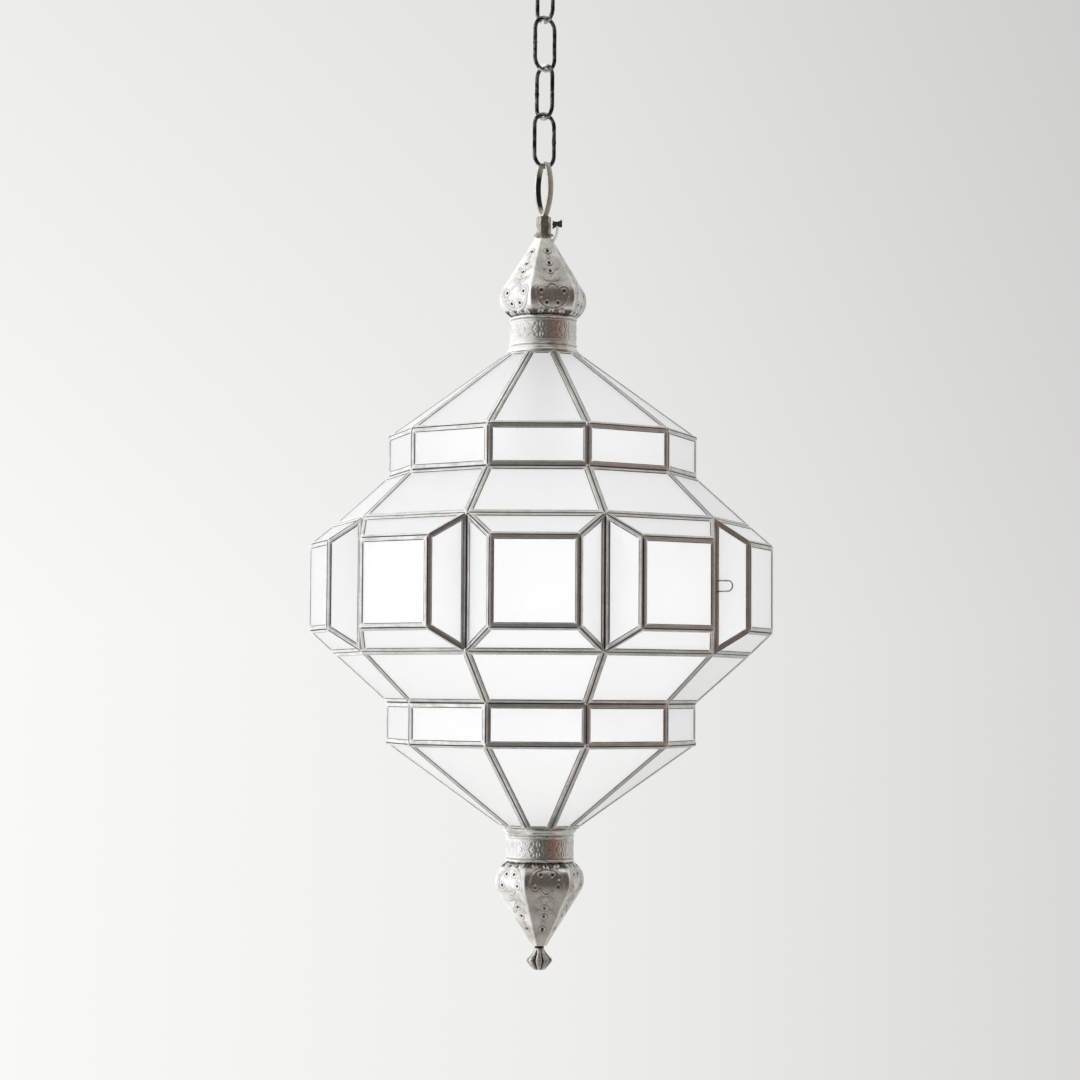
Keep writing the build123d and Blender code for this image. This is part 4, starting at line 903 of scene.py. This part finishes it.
for radius, height, share in knob_rows:
    for step in range(KNOB_STEPS):
        turn = 2 * math.pi * step / KNOB_STEPS
        groove = max(share, 0) * (1 - abs(math.cos(FLUTES / 2 * turn))) ** 1.4
        reach = radius * (1 - FLUTE_DEPTH * groove)
        knob_points.append((reach * math.cos(turn), reach * math.sin(turn), height))
        knob_wash.append(1.1 * groove + (1.2 if share == 0 else 0))
knob_faces = grid_faces(len(knob_rows), KNOB_STEPS)
knob = show("finial_knob_cast", make_mesh("knob", knob_points, knob_faces, cast_tin, recess=knob_wash))
seat(tidy(knob), "lantern", "cast_tin", "finial_knob")

# Door pull: one wire bent to a U, its feet at the door's edge
PULL_HALF_GAUGE, PULL_LEG, PULL_BEND_AT, PULL_SETBACK = 3.8, 4.8, 9.7, 1.8
DOOR_DIRECTION = 360 / SIDES * (DOOR_BAY - 0.5)
pull_face = facing(turned_by(PANES["bay_left"], DOOR_BAY))
pull_foot = around(BAND, DOOR_DIRECTION, BAND_CENTRE) - DOWN.cross(pull_face) * PULL_SETBACK
pull_out = around(1, DOOR_DIRECTION, 0)
pull_path = [pull_foot + UP * PULL_HALF_GAUGE + pull_out * leg for leg in (0, PULL_LEG)]
pull_path += arc(pull_foot + pull_out * PULL_BEND_AT, UP, pull_out, PULL_HALF_GAUGE, 0, 180, 20)
pull_path += [pull_foot - UP * PULL_HALF_GAUGE + pull_out * leg for leg in (PULL_LEG, 0)]
seat(bent_wire("door_pull_wire", pull_path, 0.5, 12, tinned_wire), "door", "tinned_wire", "door_pull")

# Solder: a flattened bead over every corner where cames meet, none across the door's gap
bead_tree, given = shape_tree("solder_beads", ["Bead Radius", "Flatness"], ["Seed"])
bead = place(bead_tree, "GeometryNodeMeshIcoSphere", {"Radius": given["Bead Radius"], "Subdivisions": 3})
outwards = place(bead_tree, "GeometryNodeInputNamedAttribute", {"Name": "outwards"}, data_type="FLOAT_VECTOR")
tilt = place(bead_tree, "FunctionNodeAlignRotationToVector", {"Vector": outwards}, axis="Z")
vary = place(bead_tree, "FunctionNodeRandomValue", {2: 0.8, 3: 1.0, "Seed": given["Seed"]}, data_type="FLOAT")
flat = place(bead_tree, "ShaderNodeMath", {0: vary, 1: given["Flatness"]}, operation="MULTIPLY")
spread = place(bead_tree, "ShaderNodeCombineXYZ", {"X": vary, "Y": vary, "Z": flat})
close_tree(bead_tree, given, place(bead_tree, "GeometryNodeInstanceOnPoints", {
    "Points": given["Geometry"], "Instance": bead, "Rotation": tilt, "Scale": spread,
}))
COURSE_SINK, BAY_SINK = 1.1, 2.2


def corner_key(corner):
    """A corner's place to a tenth of a millimetre, the same for every pane that meets there."""
    return tuple(round(c, 1) + 0.0 for c in corner)


def soldered(members, sink, wanted):
    """Each wanted corner of the given panes once, sunk under its surface, with the mean normal of what meets there."""
    met = {}
    for name, step in members:
        corners = turned_by(PANES[name], step)
        for corner in corners:
            met.setdefault(corner_key(corner), [corner, Vector()])[1] += facing(corners)
    corners = [(corner, normal.normalized()) for corner, normal in met.values() if wanted(corner)]
    return [(corner - normal * sink, normal) for corner, normal in corners]


def bay_fronts(bays):
    """The beads on the front corners of bays, which lie deeper because three steep faces meet there."""
    order = ("bay_front", "bay_left", "bay_right", "bay_top", "bay_bottom")
    fronts = {corner_key(corner) for bay in bays for corner in turned_by(PANES["bay_front"], bay)}
    members = [(name, bay) for bay in bays for name in order]
    return soldered(members, BAY_SINK, lambda corner: corner_key(corner) in fronts)


door_corners = turned_by(PANES["bay_left"][:1] + PANES["bay_left"][3:] + PANES["bay_right"][1:3], DOOR_BAY)
frame_beads = soldered(
    [(name, step) for name in COURSES for step in range(SIDES)], COURSE_SINK,
    lambda corner: all((corner - other).length > 0.5 for other in door_corners),
) + bay_fronts([step for step in range(SIDES) if step != DOOR_BAY])
for label, body, beads in (("frame", "lantern", frame_beads), ("door", "door", bay_fronts([DOOR_BAY]))):
    corners = bare_mesh(f"{label}_corners", [corner for corner, _ in beads])
    normals = np.array([normal for _, normal in beads], np.float32)
    corners.attributes.new("outwards", "FLOAT_VECTOR", "POINT").data.foreach_set("vector", normals.ravel())
    solder = grow(
        f"{label}_solder_beads", bead_tree, soft_solder, corners, bead_radius=1.9 * MM, flatness=0.75, seed=7,
    )
    seat(solder, body, "tinned_came")

# Lead: a thin sheathed cable up beside the stem and out of the dome by its own hole, to its tied end
TIE_REACH, TIE_HEIGHT = 10.6, DOME_CROWN + 9.0
lead_route = [
    (7, HOLDER_TOP - 4.0), (7, DOME_BASE + 5.0), (7, DOME_CROWN - 26.0), (6.2, DOME_CROWN - 12.0),
    (5.6, DOME_CROWN - 7.6), (6.9, DOME_CROWN - 4.2), (9.6, DOME_CROWN - 0.6), (10.8, DOME_CROWN + 4.0),
    (TIE_REACH, TIE_HEIGHT),
]
lead_curve = bpy.data.curves.new("lead_line", "CURVE")
lead_curve.dimensions = "3D"
lead_line = lead_curve.splines.new("NURBS")
lead_line.points.add(len(lead_route) - 1)
for point, (reach, height) in zip(lead_line.points, lead_route):
    point.co = (*(around(reach, LEAD_DIRECTION, height) * MM), 1.0)
lead_line.order_u, lead_line.use_endpoint_u = 3, True
lead_curve.resolution_u, lead_curve.bevel_depth, lead_curve.bevel_resolution = 10, 1.0 * MM, 5
lead_curve.use_fill_caps = True
lead_mesh = settled_mesh(bpy.data.objects.new("lead_line", lead_curve))
lead_mesh.materials.clear()
lead_mesh.materials.append(grey_sheath)
seat(tidy(show("lead_sheath", lead_mesh)), "lantern", "lead_sheath", "lead_tail")

# Tied end: tape wound tight round the lead's end, its two tails gathered, folded and flared
TIE_RINGS, TIE_SPOKES, TIE_HALF_WIDTH = 33, 36, 3.45
tie_across = around(1, LEAD_DIRECTION, 0)
tie_through = tie_across.cross(UP)
tie_points = []
for share in np.linspace(-1, 1, TIE_RINGS):
    flared = abs(share) ** 1.3
    wound = max(0.0, 1 - (abs(share) / 0.27) ** 4)
    for spoke in range(TIE_SPOKES):
        turn = 2 * math.pi * spoke / TIE_SPOKES
        fold = 1 + 0.14 * math.cos(7 * turn + 2.2 * share) * (1 - wound) + 0.05 * math.cos(3 * turn + 9 * share)
        tall = (1.75 + 1.1 * flared + 0.35 * wound) * fold * math.sin(turn)
        deep = (1.1 + 0.25 * flared + 0.35 * wound) * fold * math.cos(turn)
        ragged = (0.28 * math.sin(5 * turn + 1.3) + 0.1 * math.sin(11 * turn)) * flared ** 6
        tie_points.append(
            around(TIE_REACH, LEAD_DIRECTION, TIE_HEIGHT) + tie_across * (share * (TIE_HALF_WIDTH + ragged))
            + tie_through * deep + UP * (0.35 * share * abs(share) + tall)
        )
tie_faces = grid_faces(TIE_RINGS, TIE_SPOKES, capped=True)
tie = tidy(show("lead_tie_tape", make_mesh("tie", tie_points, tie_faces, black_tape)), 50)
seat(tie, "lantern", "black_tape", "lead_tie")

# Bulb: a blown globe with its throat, and a rolled screw cap with its contact
CAP_TOP = HOLDER_TOP - 27.8
CAP_BOTTOM = CAP_TOP - 27.0
GLOBE_CENTRE = CAP_BOTTOM - 26.0
GLOBE, THROAT, GLASS_WALL = 22.5, 7.0, 0.8


def globe_line(radius, throat):
    """The globe's section from its bottom up to the cap: an arc of the sphere, then the flared throat."""
    flare = GLOBE / 2
    join = math.acos((throat + flare) / (radius + flare))
    swell, throat_turns = np.linspace(-math.pi / 2, join, 34)[1:], np.linspace(join, 0, 9)[1:]
    flare_x, flare_z = (radius + flare) * math.cos(join), GLOBE_CENTRE + (radius + flare) * math.sin(join)
    line = [(0, GLOBE_CENTRE - radius)] + [(radius * math.cos(t), GLOBE_CENTRE + radius * math.sin(t)) for t in swell]
    return line + [(flare_x - flare * math.cos(t), flare_z - flare * math.sin(t)) for t in throat_turns]


globe_section = globe_line(GLOBE, THROAT) + globe_line(GLOBE - GLASS_WALL, THROAT - GLASS_WALL)[::-1]
seat(turned_body("bulb_globe_blown", globe_section, pearl_glass, 64), "bulb", "bulb_glass", "bulb_globe")
thread = [(6.75 + 0.25 * math.sin(2 * math.pi * v / 2.8), 3.0 + v) for v in np.linspace(0, 16.8, 61)]
cap_section = [
    (0, 0), (6.9, 0), (7.0, 0.4), (6.8, 2.6), *thread, (6.4, 21.0), (4.6, 24.6), (3.4, 27.0), (3.0, 27.0),
    (2.6, 28.2), (1.4, 28.5), (0, 28.5),
]
cap_section = [(r, CAP_BOTTOM + v) for r, v in cap_section]
seat(turned_body("bulb_cap_rolled", cap_section, spun_aluminium), "bulb", "bulb_cap_metal", "bulb_cap")

# What stays as the CAD has it takes its own finish
for name, node in nodes.items():
    if name.endswith("_glass"):
        finish, slot = frosted_glass, "frosted_glass"
    elif name.endswith("_knuckles") or name == "hinge_pin":
        finish, slot = tinned_wire, "tinned_wire"
    elif name in ("top_stem", "bridge_bar", "stem_nut", "knob_nut"):
        finish, slot = plated_steel, "plated_steel"
    elif name in ("holder_cap", "holder_barrel"):
        finish, slot = phenolic, "lampholder"
    else:
        continue
    node.data.materials.clear()
    node.data.materials.append(finish)

# Studio: a pale surround, a little darker to the right and above
world = bpy.data.worlds.new("pale_surround")
scene.world = world
world.use_nodes = True
sky = world.node_tree
sky.nodes.clear()
look = place(sky, "ShaderNodeTexCoord").outputs["Generated"]
aside = place(sky, "ShaderNodeSeparateXYZ", {0: look}).outputs
across = place(sky, "ShaderNodeMapRange", {"Value": aside["X"], 1: -0.24, 2: 0.2})
wall = place(sky, "ShaderNodeValToRGB", {"Fac": across}, ((0.0, "#FAFAF9"), (0.5, "#EEEEEC"), (1.0, "#D6D5D3")))
dimmer = place(sky, "ShaderNodeMapRange", {"Value": aside["Z"], 1: 0.02, 2: 0.25, 3: 1.0, 4: 0.89})
shaded = place(sky, "ShaderNodeVectorMath", {0: wall, "Scale": dimmer}, operation="SCALE")
# What polished tin mirrors: a bright window side, a dim room in front, brown wood to the right, a grey ceiling
towards = place(sky, "ShaderNodeMath", {0: aside["Y"], 1: -1.0}, operation="MULTIPLY")
bearing = place(sky, "ShaderNodeMath", {0: aside["X"], 1: towards}, operation="ARCTAN2")
sweep = place(sky, "ShaderNodeMapRange", {"Value": bearing, 1: math.radians(-60), 2: math.radians(150)})
room = place(sky, "ShaderNodeValToRGB", {"Fac": sweep}, (
    (0.0, "#FFFFFF"), (0.09, "#F4F4F2"), (0.15, "#AEACA9"), (0.24, "#76726F"), (0.34, "#55504C"), (0.45, "#544B46"),
    (0.52, "#7E5F50"), (0.59, "#946E58"), (0.66, "#8A827D"), (0.79, "#CFCDCA"),
))
high = place(sky, "ShaderNodeMapRange", {"Value": aside["Z"], 1: 0.66, 2: 0.94})
mirrored = place(sky, "ShaderNodeMix", {0: high, 6: room, 7: colour("#D8D7D4")}, data_type="RGBA")
low = place(sky, "ShaderNodeMapRange", {"Value": aside["Z"], 1: -0.3, 2: -0.8, 4: 0.75})
mirrored = place(sky, "ShaderNodeMix", {0: low, 6: mirrored, 7: colour("#B9B5B1")}, data_type="RGBA")
window = place(sky, "ShaderNodeMapRange", {
    "Value": bearing, 1: math.radians(-55), 2: math.radians(-85), 3: 1.0, 4: 1.35,
})
mirrored = place(sky, "ShaderNodeVectorMath", {0: mirrored, "Scale": window}, operation="SCALE")
rays = place(sky, "ShaderNodeLightPath").outputs
view = place(sky, "ShaderNodeMix", {0: rays["Is Glossy Ray"], 6: shaded, 7: mirrored}, data_type="RGBA")
seen = place(sky, "ShaderNodeBackground", {"Color": view, "Strength": 1.0})
ambient = place(sky, "ShaderNodeBackground", {"Color": colour("#FFFFFF"), "Strength": 1.12})
straight = place(sky, "ShaderNodeMath", {0: rays["Is Camera Ray"], 1: rays["Is Glossy Ray"]}, operation="ADD")
direct = place(sky, "ShaderNodeMath", {0: straight, 1: rays["Is Transmission Ray"]}, operation="ADD", use_clamp=True)
both = place(sky, "ShaderNodeMixShader", {0: direct, 1: ambient, 2: seen})
place(sky, "ShaderNodeOutputWorld", {"Surface": both})

# Square soft lamps round the lantern, white and not seen themselves, not even in the tin: position, size, watts
LANTERN_MIDDLE = Vector((0, 0, BAND_CENTRE * MM))
LAMPS = {
    "window_side": ((-2.6, -1.0, -0.1), 2.2, 12), "room_side": ((1.8, -2.1, -0.9), 1.8, 7),
    "floor_bounce": ((0, -0.5, -1.28), 1.8, 7), "wall_side": ((0.5, 2.2, 0.2), 2.0, 8),
}
for name, (position, size, watts) in LAMPS.items():
    lamp = bpy.data.lights.new(name, "AREA")
    lamp.shape, lamp.size, lamp.energy = "SQUARE", size, watts
    holder = bpy.data.objects.new(name, lamp)
    holder.location = position
    holder.rotation_euler = (LANTERN_MIDDLE - Vector(position)).to_track_quat("-Z", "Y").to_euler()
    holder.visible_camera = holder.visible_glossy = False
    scene.collection.objects.link(holder)

# Pale floor of matt paint, half a metre below the lantern, fading out to the surround
FLOOR_HEIGHT, FLOOR_RINGS, FLOOR_STEP = -1.3, (0.0001, 800, 1600, 2450), 6
floor_finish, floor_tree = new_finish("matt_floor_paint")
where = place(floor_tree, "ShaderNodeTexCoord").outputs["Object"]
speck = place(floor_tree, "ShaderNodeTexNoise", {"Vector": where, "Scale": 60.0, "Detail": 4.0})
paint = place(floor_tree, "ShaderNodeValToRGB", {"Fac": speck}, ((0.4, "#E7E6E4"), (0.6, "#EBEAE8")))
painted = place(floor_tree, "ShaderNodeBsdfPrincipled", {"Base Color": paint, "Roughness": 0.8})
clear = place(floor_tree, "ShaderNodeBsdfTransparent")
reach = place(floor_tree, "ShaderNodeVectorMath", {0: where}, operation="LENGTH")
fade = place(floor_tree, "ShaderNodeMapRange", {"Value": reach, 1: 1.2, 2: 2.4}, interpolation_type="SMOOTHSTEP")
faded = place(floor_tree, "ShaderNodeMixShader", {0: fade, 1: painted, 2: clear})
place(floor_tree, "ShaderNodeOutputMaterial", {"Surface": faded})
floor_points = [around(radius, turn, 0) for radius in FLOOR_RINGS for turn in range(0, 360, FLOOR_STEP)]
floor_faces = grid_faces(len(FLOOR_RINGS), 360 // FLOOR_STEP)
floor = show("floor", make_mesh("floor", floor_points, floor_faces, floor_finish))
floor.location = (0, 0, FLOOR_HEIGHT)
floor.visible_glossy = False

# Camera: level with the lower half of the lantern, two metres off, tipped up a little
CAMERA_DISTANCE, CAMERA_DROP = 2.048, 76.5
CAMERA_ROUND, CAMERA_PAN, CAMERA_TIP, CAMERA_ROLL = 1.615, 0.038, 3.199, 0.362
camera = bpy.data.cameras.new("camera")
camera.lens, camera.sensor_width = 90.008, 36.0
camera.clip_start, camera.clip_end = 0.05, 60
viewer = bpy.data.objects.new("camera", camera)
viewer.location = around(CAMERA_DISTANCE, CAMERA_ROUND, (BAND_CENTRE - CAMERA_DROP) * MM)
turns = (("Z", CAMERA_ROUND + CAMERA_PAN), ("X", 90 + CAMERA_TIP), ("Z", CAMERA_ROLL))
round_it, tip, roll = (Matrix.Rotation(math.radians(angle), 3, axis) for axis, angle in turns)
viewer.rotation_euler = (round_it @ tip @ roll).to_euler()
scene.collection.objects.link(viewer)
scene.camera = viewer
scene.view_settings.view_transform = "Standard"
